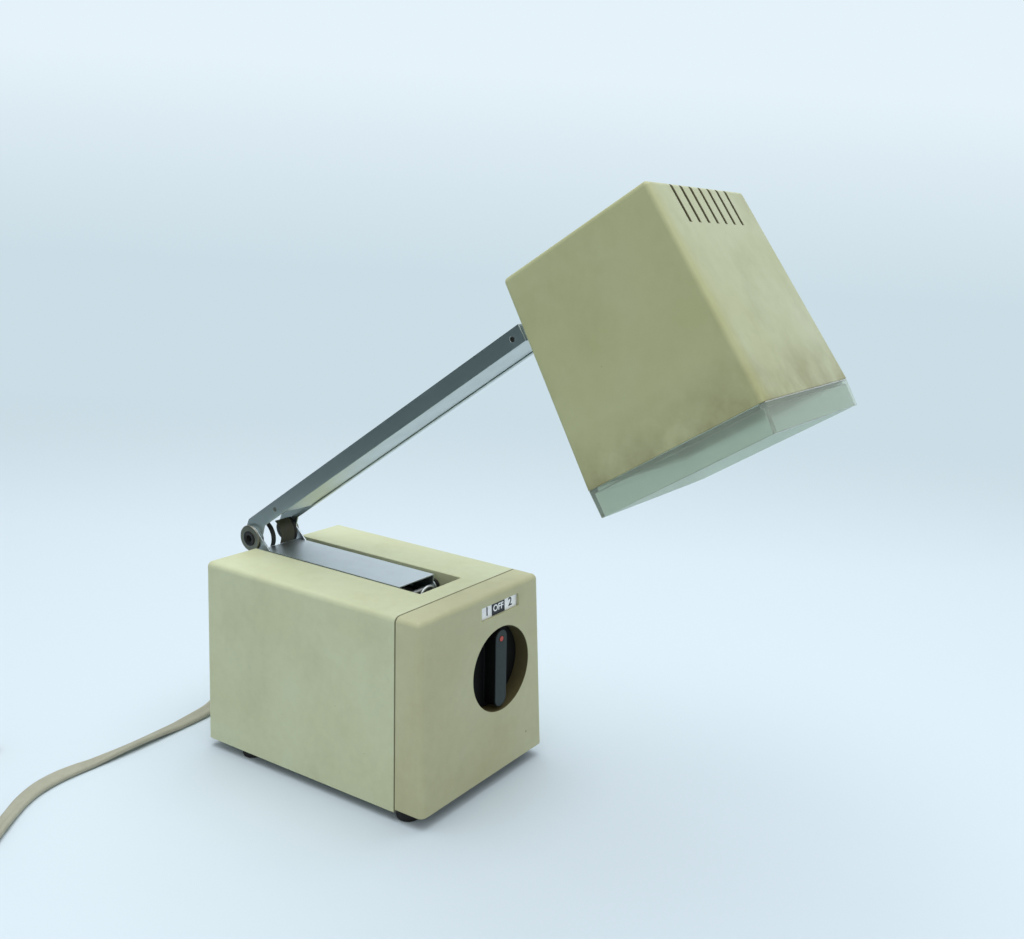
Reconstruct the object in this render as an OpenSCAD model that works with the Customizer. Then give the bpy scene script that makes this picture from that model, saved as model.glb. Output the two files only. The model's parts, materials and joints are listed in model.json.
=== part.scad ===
// Table lamp on a square moulded base, with a folding two-piece telescopic arm and a boxy tilting head.
// The origin is the centre of the base's footprint on the table, +X towards the knob face, +Z up.
// The lamp is drawn as it stands open: the lower arm in its slot, the upper arm raised, the head forward.

/* [Base] */
// Length of the base at the bottom, from the rear face to the knob face
base_l = 144; // [130:1:180]
// Width of the base at the bottom
base_w = 92; // [86:1:120]
// Height of the base above its feet
base_h = 95; // [92:1:120]
// Depth of the front cover that carries the knob
cover_l = 17; // [16:0.5:20]
// How far the long sides lean in at the top
side_draft = 2.6; // [0:0.1:5]
// How far the knob face leans in at the top
front_draft = 3.2; // [0:0.1:5]
// How far the rear face leans in at the top
rear_draft = 3.8; // [0:0.1:5]
// Radius of the moulded edges
edge_r = 3; // [2.6:0.1:6]
// Thickness of the moulded walls
wall = 2.4; // [2:0.1:3]
// How much higher the cover's lower edge is than the housing's
cover_lift = 1.5; // [0:0.1:3]

/* [Feet] */
// Diameter of the rubber feet
foot_d = 12; // [8:0.5:16]
// Height of the rubber feet
foot_h = 5; // [4:0.5:10]
// Centre of the front feet, behind the knob face
foot_front = 15; // [12:0.5:20]
// Centre of the rear feet, in front of the rear face
foot_rear = 25.5; // [22:0.5:34]
// Centre of each foot, in from the side of the base
foot_in = 8; // [8:0.5:14]

/* [Knob and label] */
// Diameter of the round recess in the knob face
recess_d = 42.5; // [36:0.5:46]
// Depth of the recess, down to its floor
recess_depth = 9.8; // [7:0.1:11]
// Depth of the knob's axis below the top of the base
knob_down = 40.4; // [36:0.1:48]
// How far the knob and the label sit to the far side of the middle
knob_side = 13; // [0:0.5:16]
// Thickness of the knob's disc
knob_disc_t = 2.2; // [1.5:0.1:3]
// Width of the grip bar across the knob
grip_w = 8.8; // [6:0.1:12]
// Length of the grip bar
grip_l = 40; // [30:0.5:41]
// Diameter of the knob's shaft
shaft_d = 6; // [4:0.5:8]
// Width of the label window
label_w = 28; // [20:0.5:34]
// Height of the label window
label_h = 6.4; // [4:0.1:7]
// Depth of the label's centre below the top of the base
label_down = 9; // [8:0.1:11]
// Depth of the label behind the knob face
label_depth = 1.5; // [0.8:0.1:1.6]

/* [Top slot] */
// Width of the slot that takes the lower arm
slot_w = 29.2; // [29:0.1:34]
// Closed end of the slot, behind the knob face
slot_front = 28.5; // [26:0.5:34]
// Height of the slot's moulded side walls
slot_wall_h = 8; // [6:0.5:9]
// Depth of the steel trough's floor below the top of the base
trough_depth = 13; // [12.5:0.1:15]
// Thickness of the trough's sheet
trough_t = 1.2; // [0.8:0.1:1.4]

/* [Lower arm] */
// Width of the lower arm's channel
low_w = 24.4; // [24.2:0.1:25]
// Thickness of the arms' sheet
sheet = 0.8; // [0.6:0.05:1]
// Depth of the lower channel's flanges
low_depth = 9; // [8:0.1:10]
// How far the lower arm's top lies under the top of the base
low_drop = 0.7; // [0.2:0.1:1.5]
// Swing pivot, behind the slot's closed end
pivot_back = 16.7; // [15:0.1:20]
// Swing pivot, under the top of the base
pivot_drop = 7.6; // [7:0.1:8]
// Diameter of the swing pivot's pin
pivot_pin_d = 3; // [2:0.1:3.4]
// Elbow, behind the base's rear face
elbow_out = 0.5; // [0:0.1:6]
// Elbow, above the top of the base
elbow_rise = 3.5; // [3:0.1:6]
// Radius of the lower arm's ears round the elbow
ear_r = 6.6; // [6.2:0.1:8]

/* [Elbow] */
// Diameter of the elbow's hollow rivets at the cap
rivet_cap_d = 13.8; // [12:0.1:16]
// Diameter of the rivets' shank
rivet_shank_d = 7; // [6:0.1:8]
// Bore through the rivets
rivet_bore_d = 5; // [3:0.1:5.4]
// Thickness of the rivets' cap
rivet_cap_t = 1.2; // [0.8:0.1:1.6]
// Radius of the bent strips in front of the elbow
strip_r = 8.8; // [8.3:0.1:10]
// Thickness of the bent strips
strip_t = 0.5; // [0.3:0.1:0.8]

/* [Upper arm] */
// Angle of the upper arm above level, as it stands
arm_angle = 34.2; // [20:0.1:60]
// Distance from the elbow to the head's pivot, pushed in
arm_reach = 222.2; // [200:0.1:240]
// Open edge of the outer channel, above the line between the pivots
arm_low = 1.5; // [1:0.1:2]
// Depth of the outer channel's sides
arm_depth = 7.7; // [7:0.1:9]
// How far short of the head's pivot the outer channel ends
outer_short = 14.2; // [13:0.1:30]
// Radius of the outer channel's ears round the elbow
outer_ear_r = 6; // [5:0.1:6.4]
// End of the inner channel inside the outer one, from the elbow
inner_start = 27; // [26:0.5:60]
// Radius of the inner channel's ears round the head's pivot
inner_ear_r = 5.2; // [4.5:0.1:5.3]
// Diameter of the head's pivot pin
head_pin_d = 4; // [3:0.1:5]
// Diameter of the stop dimples
dimple_d = 4; // [3:0.1:5]

/* [Head] */
// Angle of the head's top above level, as it stands
head_angle = 32.2; // [0:0.1:60]
// Length of the shade at its mouth
shade_l = 81.3; // [70:0.1:100]
// Width of the shade at its mouth
shade_w = 82.4; // [76:0.1:100]
// Height of the shade, from its top to its mouth
shade_h = 86.1; // [80:0.1:100]
// Rear wall of the shade in front of the head's pivot, at the mouth
shade_back = 3.05; // [3:0.05:5]
// Top of the shade above the head's pivot
shade_top = 18; // [15:0.1:19]
// How far the shade's rear wall leans forward at the top
shade_rear_draft = 3.2; // [3:0.1:5]
// How far the shade's front wall leans back at the top
shade_front_draft = 6.8; // [2:0.1:10]
// How far each side of the shade leans in at the top
shade_side_draft = 2.6; // [0:0.1:6]
// Radius of the shade's edges
shade_r = 2; // [1.6:0.1:5]
// Thickness of the shade's walls
shade_wall = 2; // [1.5:0.1:2.4]
// Height of the clear skirt under the shade
skirt_h = 11.4; // [6:0.1:16]
// Thickness of the clear skirt
skirt_t = 1.8; // [1.4:0.1:2.4]
// How far the skirt's tongue reaches up inside the shade
tongue_h = 6; // [4:0.5:10]
// Number of vent slots
vent_n = 7; // [3:2:9]
// Spacing of the vent slots
vent_pitch = 7.2; // [6:0.1:8]
// Width of each vent slot
vent_w = 1.6; // [1:0.1:2.4]
// How far the vents run down the front wall
vent_down = 16; // [8:0.5:24]
// How far the vents run back along the top
vent_back = 7; // [4:0.5:16]
// Diameter of the bulb's globe
globe_d = 25; // [20:0.5:28]
// Diameter of the bulb's metal cap
cap_d = 15; // [12:0.1:16]

/* [Transformer] */
// Width of the laminated core
core_w = 66; // [50:1:70]
// Free height between the core's strap and the bars under the trough
core_head = 15.3; // [10:0.1:26]
// Free width between the stack of laminations and the base's side
core_side = 33; // [30:0.5:38]

/* [Cord] */
// Width of the flat twin cord
cord_w = 6.6; // [5:0.1:8]
// Thickness of the flat twin cord
cord_t = 3.3; // [2.5:0.1:4]

/* [Hidden] */

$fn = 48;
round_fn = 32;
over = 1;
thin = 0.01;
fit = 0.1;
running = 0.05;
seat = 0.2;
least_r = 0.4;

low_z = foot_h;
top_z = foot_h + base_h;
rear_x = -base_l / 2;
front_x = base_l / 2;
seam_x = front_x - cover_l;
seam_gap = 0.3;
slot_x = front_x - slot_front;
trough_z = top_z - trough_depth;
trough_low = trough_z - trough_t;
pivot_x = slot_x - pivot_back;
pivot_z = top_z - pivot_drop;
elbow_x = rear_x - elbow_out;
elbow_z = top_z + elbow_rise;
head_x = elbow_x + arm_reach * cos(arm_angle);
head_z = elbow_z + arm_reach * sin(arm_angle);
knob_z = top_z - knob_down;
label_z = top_z - label_down;
plate_t = 2;
plate_top = low_z + plate_t;
front_lean = atan(front_draft / base_h);

function face_x(z) = front_x - front_draft * (z - low_z) / base_h;
function rear_face_x(z) = rear_x + rear_draft * (z - low_z) / base_h;

beige = "#a9ab90";
pale_beige = "#b3b59c";
black_steel = "#2b2b29";
dark_plastic = "#1f1f1f";
rubber = "#26211e";
aluminium = "#8f9790";
bright_steel = "#b9bcbd";
brass = "#b08d4a";
copper = "#a5582c";
core_steel = "#6b6b69";
clear = [0.82, 0.88, 0.8, 0.5];

// A block between two opposite corners
module block(a, b) {
    translate(a) cube(b - a);
}

// A cylinder along X, from x0 to x1
module bar_x(x0, x1, r) {
    translate([x0, 0, 0]) rotate([0, 90, 0]) cylinder(r = r, h = x1 - x0);
}

// A cylinder along Y, from y0 to y1
module bar_y(y0, y1, r) {
    translate([0, y1, 0]) rotate([90, 0, 0]) cylinder(r = r, h = y1 - y0);
}

// A flat outline in X and Z, made into a plate from y0 to y1
module plate_y(y0, y1) {
    translate([0, y1, 0]) rotate([90, 0, 0]) linear_extrude(y1 - y0) children();
}

// The same thing on both sides of the middle
module both_sides() {
    children();
    mirror([0, 1, 0]) children();
}

// The frame of the upper arm: X runs from the elbow to the head's pivot
module on_arm() {
    translate([elbow_x, 0, elbow_z]) rotate([0, -arm_angle, 0]) children();
}

// The frame of the head: its pivot is the origin and X runs along the shade's top
module on_head() {
    translate([head_x, 0, head_z]) rotate([0, -head_angle, 0]) children();
}

// A place on the leaning knob face, with X pointing out of it
module on_face(y, z) {
    translate([face_x(z), y, z]) rotate([0, -front_lean, 0]) children();
}

// A pan-head screw that points up, with its head's underside at the origin
module screw_up(shank_r, shank_l, head_r, head_h) {
    translate([0, 0, -head_h]) cylinder(r = head_r, h = head_h);
    cylinder(r = shank_r, h = shank_l);
}

screw_r = 1.45;
screw_hole_r = 1.5;
head_r = 2.8;
head_h = 1.4;

// The outer form of the base, or the form of its inside when inset by the wall
module base_form(inset, drop) {
    r = max(least_r, edge_r - inset);
    side = inset + r;
    y0 = base_w / 2 - side;
    hull() both_sides() for (z = [low_z - drop, top_z - side]) {
        y = y0 - side_draft * (z - low_z) / base_h;
        for (x = [rear_face_x(z) + side, face_x(z) - side]) translate([x, y, z]) {
            if (z > low_z) sphere(r = r, $fn = round_fn);
            else cylinder(r = r, h = thin, $fn = round_fn);
        }
    }
}

boss_r = 4;
boss_h = 24;
rear_boss_x = rear_x + 2 * boss_r + wall;
front_boss_x = seam_x - 2 * boss_r - over;
side_boss_y = base_w / 2 - 2 * boss_r - wall;
far_boss_y = base_w / 8;
housing_bosses = [
    [rear_boss_x, -side_boss_y], [rear_boss_x, far_boss_y],
    [front_boss_x, -side_boss_y], [front_boss_x, side_boss_y]
];
cover_boss_x = front_x - wall - boss_r;
cover_boss_y = base_w / 4;
screw_bite = 8;

bar_w = 7;
bar_h = 6;
bar_places = [rear_x + base_l / 6, pivot_x - pivot_back];

cord_exit_in = 14;
cord_exit_up = 13;
cord_exit_y = base_w / 2 - cord_exit_in;
cord_exit_z = low_z + cord_exit_up;
bushing_r = 5;

// The rear part of the base: four walls, the roof with its slot, and what the screws bite into
module main_housing() {
    slot_y = slot_w / 2;
    color(beige) difference() {
        intersection() {
            base_form(0, 0);
            union() {
                difference() {
                    block([rear_x - over, -base_w, low_z - over], [seam_x, base_w, top_z + over]);
                    base_form(wall, over);
                }
                both_sides() block([rear_x, slot_y, top_z - slot_wall_h],
                    [slot_x + wall, slot_y + wall, top_z]);
                block([slot_x, -slot_y - wall, top_z - slot_wall_h], [slot_x + wall, slot_y + wall, top_z]);
                for (x = bar_places)
                    block([x - bar_w / 2, -base_w / 2, trough_low - bar_h],
                        [x + bar_w / 2, base_w / 2, trough_low]);
                for (p = housing_bosses) translate([p[0], p[1], plate_top]) cylinder(r = boss_r, h = boss_h);
                for (p = housing_bosses) if (abs(p[1]) == side_boss_y) translate([p[0], 0, plate_top])
                    block([-wall / 2, sign(p[1]) > 0 ? p[1] : -base_w / 2, 0],
                        [wall / 2, sign(p[1]) > 0 ? base_w / 2 : p[1], boss_h]);
                translate([0, far_boss_y, plate_top])
                    block([rear_x, -wall / 2, 0], [rear_boss_x, wall / 2, boss_h]);
            }
        }
        block([rear_x - over, -slot_y, trough_z], [slot_x, slot_y, top_z + over]);
        for (x = bar_places) translate([x, 0, trough_low - bar_h - over])
            cylinder(r = screw_hole_r, h = bar_h + 2 * over);
        for (p = housing_bosses) translate([p[0], p[1], plate_top - over])
            cylinder(r = screw_hole_r, h = screw_bite + 2 * over);
        translate([0, cord_exit_y, cord_exit_z]) bar_x(rear_x - over, rear_x + base_l / 8, bushing_r);
    }
}

cup_wall = 1.8;
cup_floor = 1.6;
cup_floor_x = face_x(knob_z) - recess_depth;
plate_edge = 1.2;
label_plate_t = wall - label_depth;
spigot_l = 4;
spigot_t = 1.2;

// The front part of the base, with the knob's cup, the label's window and a lip inside the housing
module front_cover() {
    color(pale_beige) difference() {
        union() {
            intersection() {
                base_form(0, 0);
                union() {
                    difference() {
                        block([seam_x + seam_gap, -base_w, low_z + cover_lift],
                            [front_x + over, base_w, top_z + over]);
                        base_form(wall, over);
                    }
                    translate([0, knob_side, knob_z])
                        bar_x(cup_floor_x - cup_floor, front_x, recess_d / 2 + cup_wall);
                    both_sides() translate([cover_boss_x, cover_boss_y, plate_top]) {
                        cylinder(r = boss_r, h = boss_h);
                        block([0, -wall / 2, 0], [front_x - cover_boss_x, wall / 2, boss_h]);
                    }
                }
            }
            intersection() {
                difference() {
                    base_form(wall + seat, over);
                    base_form(wall + seat + spigot_t, over);
                }
                block([seam_x - spigot_l, -base_w, plate_top + over], [seam_x + wall, base_w, top_z]);
            }
            intersection() {
                difference() {
                    base_form(wall - seat, 0);
                    base_form(wall + seat + spigot_t, over);
                }
                block([seam_x + seam_gap, -base_w, plate_top + over],
                    [seam_x + seam_gap + wall, base_w, top_z]);
            }
        }
        translate([0, knob_side, knob_z]) {
            bar_x(cup_floor_x, front_x + over, recess_d / 2);
            bar_x(cup_floor_x - cup_floor - over, cup_floor_x + over, shaft_d / 2 + running);
        }
        for (p = switch_screw_places) translate([0, p[0], p[1]]) {
            bar_x(cup_floor_x - cup_floor - over, cup_floor_x + over, screw_hole_r);
            bar_x(cup_floor_x - countersink, cup_floor_x + over, head_r + running);
        }
        on_face(knob_side, label_z) {
            block([-wall - edge_r, -label_w / 2, -label_h / 2], [over, label_w / 2, label_h / 2]);
            block([-wall - edge_r, -label_w / 2 - plate_edge - fit, -label_h / 2 - plate_edge - fit],
                [-label_depth, label_w / 2 + plate_edge + fit, label_h / 2 + plate_edge + fit]);
        }
        both_sides() translate([cover_boss_x, cover_boss_y, plate_top - over])
            cylinder(r = screw_hole_r, h = screw_bite + 2 * over);
    }
}

// The small plate behind the label window
module label_plate() {
    color("white") on_face(knob_side, label_z)
        block([-label_depth - label_plate_t, -label_w / 2 - plate_edge, -label_h / 2 - plate_edge],
            [-label_depth, label_w / 2 + plate_edge, label_h / 2 + plate_edge]);
}

plate_gap = 0.3;
vent_slot_l = 24;
vent_slot_w = 3;
vent_slot_pitch = 8;
vent_slot_n = 5;
feet_x = [rear_x + foot_rear, front_x - foot_front];
foot_y = base_w / 2 - foot_in;

// A rectangle with round corners, from exact discs
module round_rect(l, w, r) {
    square([l - 2 * r, w], center = true);
    square([l, w - 2 * r], center = true);
    for (x = [-1, 1], y = [-1, 1]) translate([x * (l / 2 - r), y * (w / 2 - r)]) circle(r);
}

// The steel plate that closes the base from below, with its air slots
module bottom_plate() {
    side = wall + plate_gap;
    color(core_steel) translate([0, 0, low_z]) difference() {
        linear_extrude(plate_t) difference() {
            round_rect(base_l - 2 * side, base_w - 2 * side, edge_r - wall);
            for (x = feet_x, y = [-1, 1]) translate([x, y * foot_y]) circle(screw_hole_r);
            for (p = housing_bosses) translate(p) circle(screw_hole_r);
            for (y = [-1, 1]) translate([cover_boss_x, y * cover_boss_y]) circle(screw_hole_r);
            for (x = frame_screw_xs) translate([x, core_y]) circle(screw_hole_r);
            for (i = [0 : vent_slot_n - 1]) translate([core_x, -foot_y + core_t / 2 - i * vent_slot_pitch
                    + vent_slot_n * vent_slot_pitch / 2])
                square([vent_slot_l, vent_slot_w], center = true);
        }
    }
}

foot_screw_r = 2.9;
foot_recess = 2.6;

// Four rubber feet, each with a well for its screw
module rubber_feet() {
    r = foot_d / 2;
    color(rubber) for (x = feet_x, y = [-1, 1]) translate([x, y * foot_y, 0]) rotate_extrude()
        polygon([
            [foot_screw_r + running, 0], [r - foot_h / 8, 0], [r, foot_h / 6], [r, foot_h],
            [screw_hole_r, foot_h], [screw_hole_r, foot_recess], [foot_screw_r + running, foot_recess]
        ]);
}

module foot_screws() {
    color(bright_steel) for (x = feet_x, y = [-1, 1]) translate([x, y * foot_y, foot_recess])
        screw_up(screw_r, plate_top - foot_recess + head_h, foot_screw_r, head_h);
}

module bottom_screws() {
    color(bright_steel) {
        for (p = housing_bosses) translate([p[0], p[1], low_z]) screw_up(screw_r, screw_bite, head_r, head_h);
        both_sides() translate([cover_boss_x, cover_boss_y, low_z])
            screw_up(screw_r, screw_bite, head_r, head_h);
    }
}

trough_half = slot_w / 2 + fit + trough_t;
ear_in = low_w / 2 + (slot_w / 2 - trough_t - low_w / 2) / 2;
trough_ear_r = 4;
trough_end_x = slot_x - seat;
trough_rear_x = rear_face_x(top_z) + wall + seat;

// The black steel trough under the slot, with two ears for the lower arm's pin
module slot_trough() {
    color(black_steel) difference() {
        union() {
            block([trough_rear_x, -trough_half, trough_low], [trough_end_x, trough_half, trough_z]);
            both_sides() {
                block([trough_rear_x, trough_half - trough_t, trough_low],
                    [trough_end_x, trough_half, top_z - slot_wall_h]);
                plate_y(ear_in, ear_in + trough_t) {
                    translate([pivot_x, pivot_z]) circle(trough_ear_r);
                    translate([pivot_x - trough_ear_r, trough_low])
                        square([2 * trough_ear_r, pivot_z - trough_low]);
                }
            }
        }
        translate([pivot_x, 0, pivot_z]) bar_y(-slot_w, slot_w, pivot_pin_d / 2 + running);
        for (x = bar_places) translate([x, 0, trough_low - over])
            cylinder(r = screw_hole_r, h = trough_t + 2 * over);
    }
}

trough_head_h = 1.1;

module trough_screws() {
    color(bright_steel) for (x = bar_places) translate([x, 0, trough_z]) rotate([180, 0, 0])
        screw_up(screw_r, trough_t + bar_h, head_r, trough_head_h);
}

pin_head_t = 0.5;

module arm_pivot_pin() {
    color(bright_steel) translate([pivot_x, 0, pivot_z]) {
        bar_y(-ear_in - trough_t - pin_head_t, ear_in + trough_t + pin_head_t, pivot_pin_d / 2);
        both_sides() bar_y(ear_in + trough_t, ear_in + trough_t + pin_head_t, pivot_pin_d / 2 + pin_head_t);
    }
}

wire_r = 0.8;
wire_bend = 5;
wire_x = pivot_x + pivot_back / 2;
wire_leg = trough_depth - wire_bend - wire_r - low_drop - trough_t;

// The small bare lead that arches out of the trough in front of the lower arm
module slot_wire() {
    color(bright_steel) translate([wire_x, 0, trough_z]) {
        both_sides() translate([0, wire_bend, 0]) cylinder(r = wire_r, h = wire_leg);
        translate([0, 0, wire_leg]) rotate([90, 0, 90]) rotate_extrude(angle = 180)
            translate([wire_bend, 0]) circle(wire_r);
    }
}

core_x = rear_x + base_l / 2 - core_w / 4;
core_y = 0;
core_pad = 1.2;
frame_t = 1.2;
core_low = plate_top + core_pad;
core_h = trough_low - bar_h - core_head - frame_t - fit - core_low;
core_t = base_w - 2 * core_side;
leg_w = core_w / 3;
window_w = core_w / 6;
window_h = core_h - 2 * window_w;
tab_l = 10;
frame_screw_xs = [core_x - core_w / 2 - tab_l / 2 - frame_t, core_x + core_w / 2 + tab_l / 2 + frame_t];

// The stack of laminations, with its two windows
module transformer_core() {
    color(core_steel) translate([core_x, core_y, core_low]) plate_y(-core_t / 2, core_t / 2) difference() {
        translate([-core_w / 2, 0]) square([core_w, core_h]);
        for (side = [-1, 1])
            translate([side * (leg_w / 2 + window_w / 2) - window_w / 2, window_w])
                square([window_w, window_h]);
    }
}

bobbin_t = 1.2;
bobbin_flange = window_w - 2 * fit;

// A square tube with two square flanges round the core's middle leg
module coil_bobbin() {
    z0 = core_low + window_w + fit;
    z1 = z0 + window_h - 2 * fit;
    in_x = leg_w / 2 + fit;
    in_y = core_t / 2 + fit;
    color("#d8d2bf") translate([core_x, core_y, 0]) difference() {
        union() {
            block([-in_x - bobbin_t, -in_y - bobbin_t, z0], [in_x + bobbin_t, in_y + bobbin_t, z1]);
            for (z = [z0, z1 - bobbin_t])
                block([-leg_w / 2 - bobbin_flange, -core_t / 2 - bobbin_flange, z],
                    [leg_w / 2 + bobbin_flange, core_t / 2 + bobbin_flange, z + bobbin_t]);
        }
        block([-in_x, -in_y, z0 - over], [in_x, in_y, z1 + over]);
    }
}

// The two windings on the bobbin, wrapped in tape
module transformer_windings() {
    z0 = core_low + window_w + 2 * fit + bobbin_t;
    z1 = core_low + window_w + window_h - 2 * fit - bobbin_t;
    in_x = leg_w / 2 + 2 * fit + bobbin_t;
    in_y = core_t / 2 + 2 * fit + bobbin_t;
    out = bobbin_flange - over;
    color(copper) translate([core_x, core_y, z0]) linear_extrude(z1 - z0) difference() {
        round_rect(leg_w + 2 * out, core_t + 2 * out, window_w / 4);
        square([2 * in_x, 2 * in_y], center = true);
    }
}

// The steel strap that holds the core down on the plate
module clamp_frame() {
    color(bright_steel) difference() {
        translate([core_x, core_y, 0]) plate_y(-core_t / 4, core_t / 4) {
            top = core_low + core_h + fit;
            half = core_w / 2 + fit;
            translate([-half - frame_t, top]) square([2 * half + 2 * frame_t, frame_t]);
            for (side = [-1, 1]) {
                translate([side > 0 ? half : -half - frame_t, plate_top])
                    square([frame_t, top + frame_t - plate_top]);
                translate([side > 0 ? half : -half - frame_t - tab_l, plate_top])
                    square([tab_l + frame_t, frame_t]);
            }
        }
        for (x = frame_screw_xs) translate([x, core_y, plate_top - over])
            cylinder(r = screw_hole_r, h = frame_t + 2 * over);
    }
    color(core_steel) translate([core_x, core_y, 0]) for (side = [-1, 1])
        block([side > 0 ? leg_w : -leg_w - leg_w / 4, -core_t / 4, plate_top],
            [side > 0 ? leg_w + leg_w / 4 : -leg_w, core_t / 4, core_low]);
}

module frame_screws() {
    color(bright_steel) for (x = frame_screw_xs) translate([x, core_y, low_z])
        screw_up(screw_r, plate_t + 2 * frame_t, head_r, head_h);
}

switch_half = 15;
switch_back = 17;
head_shy = 0.4;
countersink = head_h - head_shy;
switch_screw_in = 11;
switch_screw_places = [for (side = [-1, 1]) [knob_side + side * switch_screw_in, knob_z]];
switch_front_x = cup_floor_x - cup_floor;
shaft_end_x = switch_front_x - switch_back / 2;
lug_l = 5;
lug_w = 3;

// The rotary switch behind the cup, with its solder lugs
module rotary_switch() {
    color("#3a2f28") difference() {
        union() {
            block([switch_front_x - switch_back, knob_side - switch_half, knob_z - switch_half],
                [switch_front_x, knob_side + switch_half, knob_z + switch_half]);
            for (y = [-1, 1], z = [-1, 0, 1])
                translate([switch_front_x - switch_back - lug_l, knob_side + y * switch_half / 2,
                        knob_z + z * switch_half / 2])
                    block([0, -frame_t / 2, -lug_w / 2], [lug_l, frame_t / 2, lug_w / 2]);
        }
        translate([0, knob_side, knob_z])
            bar_x(shaft_end_x - fit, switch_front_x + over, shaft_d / 2 + running);
        for (p = switch_screw_places) translate([0, p[0], p[1]])
            bar_x(switch_front_x - screw_bite, switch_front_x + over, screw_hole_r);
    }
}

module switch_screws() {
    color(bright_steel) for (p = switch_screw_places)
        translate([cup_floor_x - countersink, p[0], p[1]]) rotate([0, -90, 0])
            screw_up(screw_r, screw_bite - over, head_r, countersink);
}

knob_gap = 0.35;
knob_back = cup_floor_x + knob_gap;
knob_disc_r = recess_d / 2 - knob_gap;
grip_front = face_x(knob_z) - knob_gap;
grip_x = knob_back + knob_disc_t;
dot_r = 1.3;
dot_up = 15.5;
dot_depth = 0.5;

// The black disc at the bottom of the recess, with its upright grip bar
module switch_knob() {
    r = grip_w / 2;
    color(dark_plastic) translate([0, knob_side, knob_z]) difference() {
        union() {
            bar_x(knob_back, grip_x, knob_disc_r);
            intersection() {
                translate([grip_x - fit, 0, 0]) rotate([90, 0, 90])
                    linear_extrude(grip_front - grip_x + fit) {
                    square([grip_w, grip_l - grip_w], center = true);
                    for (side = [-1, 1]) translate([0, side * (grip_l / 2 - r)]) circle(r);
                }
                bar_x(knob_back, grip_front, knob_disc_r);
            }
        }
        bar_x(knob_back - over, grip_x, shaft_d / 2 + running);
        translate([0, 0, dot_up]) bar_x(grip_front - dot_depth, grip_front + over, dot_r + running);
    }
}

module pointer_dot() {
    color("#b03a2a") translate([0, knob_side, knob_z + dot_up])
        bar_x(grip_front - dot_depth, grip_front + dot_depth / 4, dot_r);
}

module switch_shaft() {
    color(bright_steel) translate([0, knob_side, knob_z]) bar_x(shaft_end_x, grip_x - fit, shaft_d / 2);
}

terminal_l = 26;
terminal_w = 15;
terminal_h = 16;
clamp_l = 8;
clamp_gap = 2.5;
clamp_x = rear_x + foot_rear + clamp_gap;
terminal_x = clamp_x + clamp_l;
terminal_n = 2;
function terminal_screw_x(i) = terminal_x + terminal_l * (2 * i + 1) / (2 * terminal_n);

// The block where the cord's two wires meet the transformer's
module terminal_block() {
    color("#cfc9b4") difference() {
        block([terminal_x, cord_exit_y - terminal_w / 2, plate_top],
            [terminal_x + terminal_l, cord_exit_y + terminal_w / 2, plate_top + terminal_h]);
        for (i = [0 : terminal_n - 1], side = [-1, 1])
            translate([terminal_screw_x(i), cord_exit_y + side * terminal_w / 4, plate_top + terminal_h / 2])
                cylinder(r = screw_hole_r, h = terminal_h);
    }
}

module terminal_screws() {
    color(brass) for (i = [0 : terminal_n - 1], side = [-1, 1])
        translate([terminal_screw_x(i), cord_exit_y + side * terminal_w / 4, plate_top + terminal_h / 2])
            cylinder(r = screw_r, h = terminal_h / 3);
}

// The flat twin cord's own outline, width across and thickness up
cord_share = [
    [1, 0.35], [0.7, 1], [-0.7, 1], [-1, 0.35], [-1, -0.35], [-0.7, -1], [0.7, -1], [1, -0.35]
];
coil_share = [[1, 0], [0.6, 1], [-0.6, 1], [-1, 0], [-0.6, -1], [0.6, -1]];

module cord_outline(grow) {
    polygon([for (p = cord_share) [p[0] * (cord_w / 2 + grow), p[1] * (cord_t / 2 + grow)]]);
}

bushing_in = 10;
bushing_out = 10;
bushing_flange = 1.5;
bushing_x = rear_face_x(cord_exit_z) - bushing_out;

// The rubber sleeve where the cord leaves the rear wall: a flange, a plug in the hole and a taper
module cord_bushing() {
    wall_x = rear_face_x(cord_exit_z);
    color(rubber) translate([0, cord_exit_y, cord_exit_z]) difference() {
        union() {
            bar_x(wall_x - bushing_flange - seat, wall_x - 2 * seat, bushing_r + bushing_flange);
            bar_x(wall_x - bushing_flange, wall_x + bushing_in, bushing_r - fit);
            translate([bushing_x, 0, 0]) rotate([0, 90, 0])
                cylinder(r1 = cord_w / 2 + bushing_flange / 2, r2 = bushing_r, h = bushing_out);
        }
        translate([bushing_x - over, 0, 0]) rotate([90, 0, 90])
            linear_extrude(bushing_out + bushing_in + 3 * over)
            cord_outline(fit);
    }
}

// The cord's last stretch, through the bushing and the clamp to the terminal block
module inner_lead() {
    color(pale_beige) translate([bushing_x, cord_exit_y, cord_exit_z]) rotate([90, 0, 90])
        linear_extrude(terminal_x - bushing_x) cord_outline(0);
}

clamp_side = 4.6;
clamp_top = 3;
clamp_screw_r = 0.95;

// A low block and a bar, which grip the cord inside the base
module cord_clamp() {
    half = cord_w / 2 + fit + clamp_side;
    color("#cfc9b4") difference() {
        block([clamp_x, cord_exit_y - half, plate_top],
            [clamp_x + clamp_l, cord_exit_y + half, cord_exit_z + cord_t / 2 + clamp_top]);
        translate([clamp_x - over, cord_exit_y, cord_exit_z]) rotate([90, 0, 90])
            linear_extrude(clamp_l + 2 * over) cord_outline(fit);
        both_sides_of(cord_exit_y)
            translate([clamp_x + clamp_l / 2, cord_w / 2 + clamp_side / 2, cord_exit_z])
            cylinder(r = clamp_screw_r + running, h = screw_bite);
    }
}

// The same thing on both sides of a line at y
module both_sides_of(y) {
    translate([0, y, 0]) both_sides() children();
}

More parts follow.
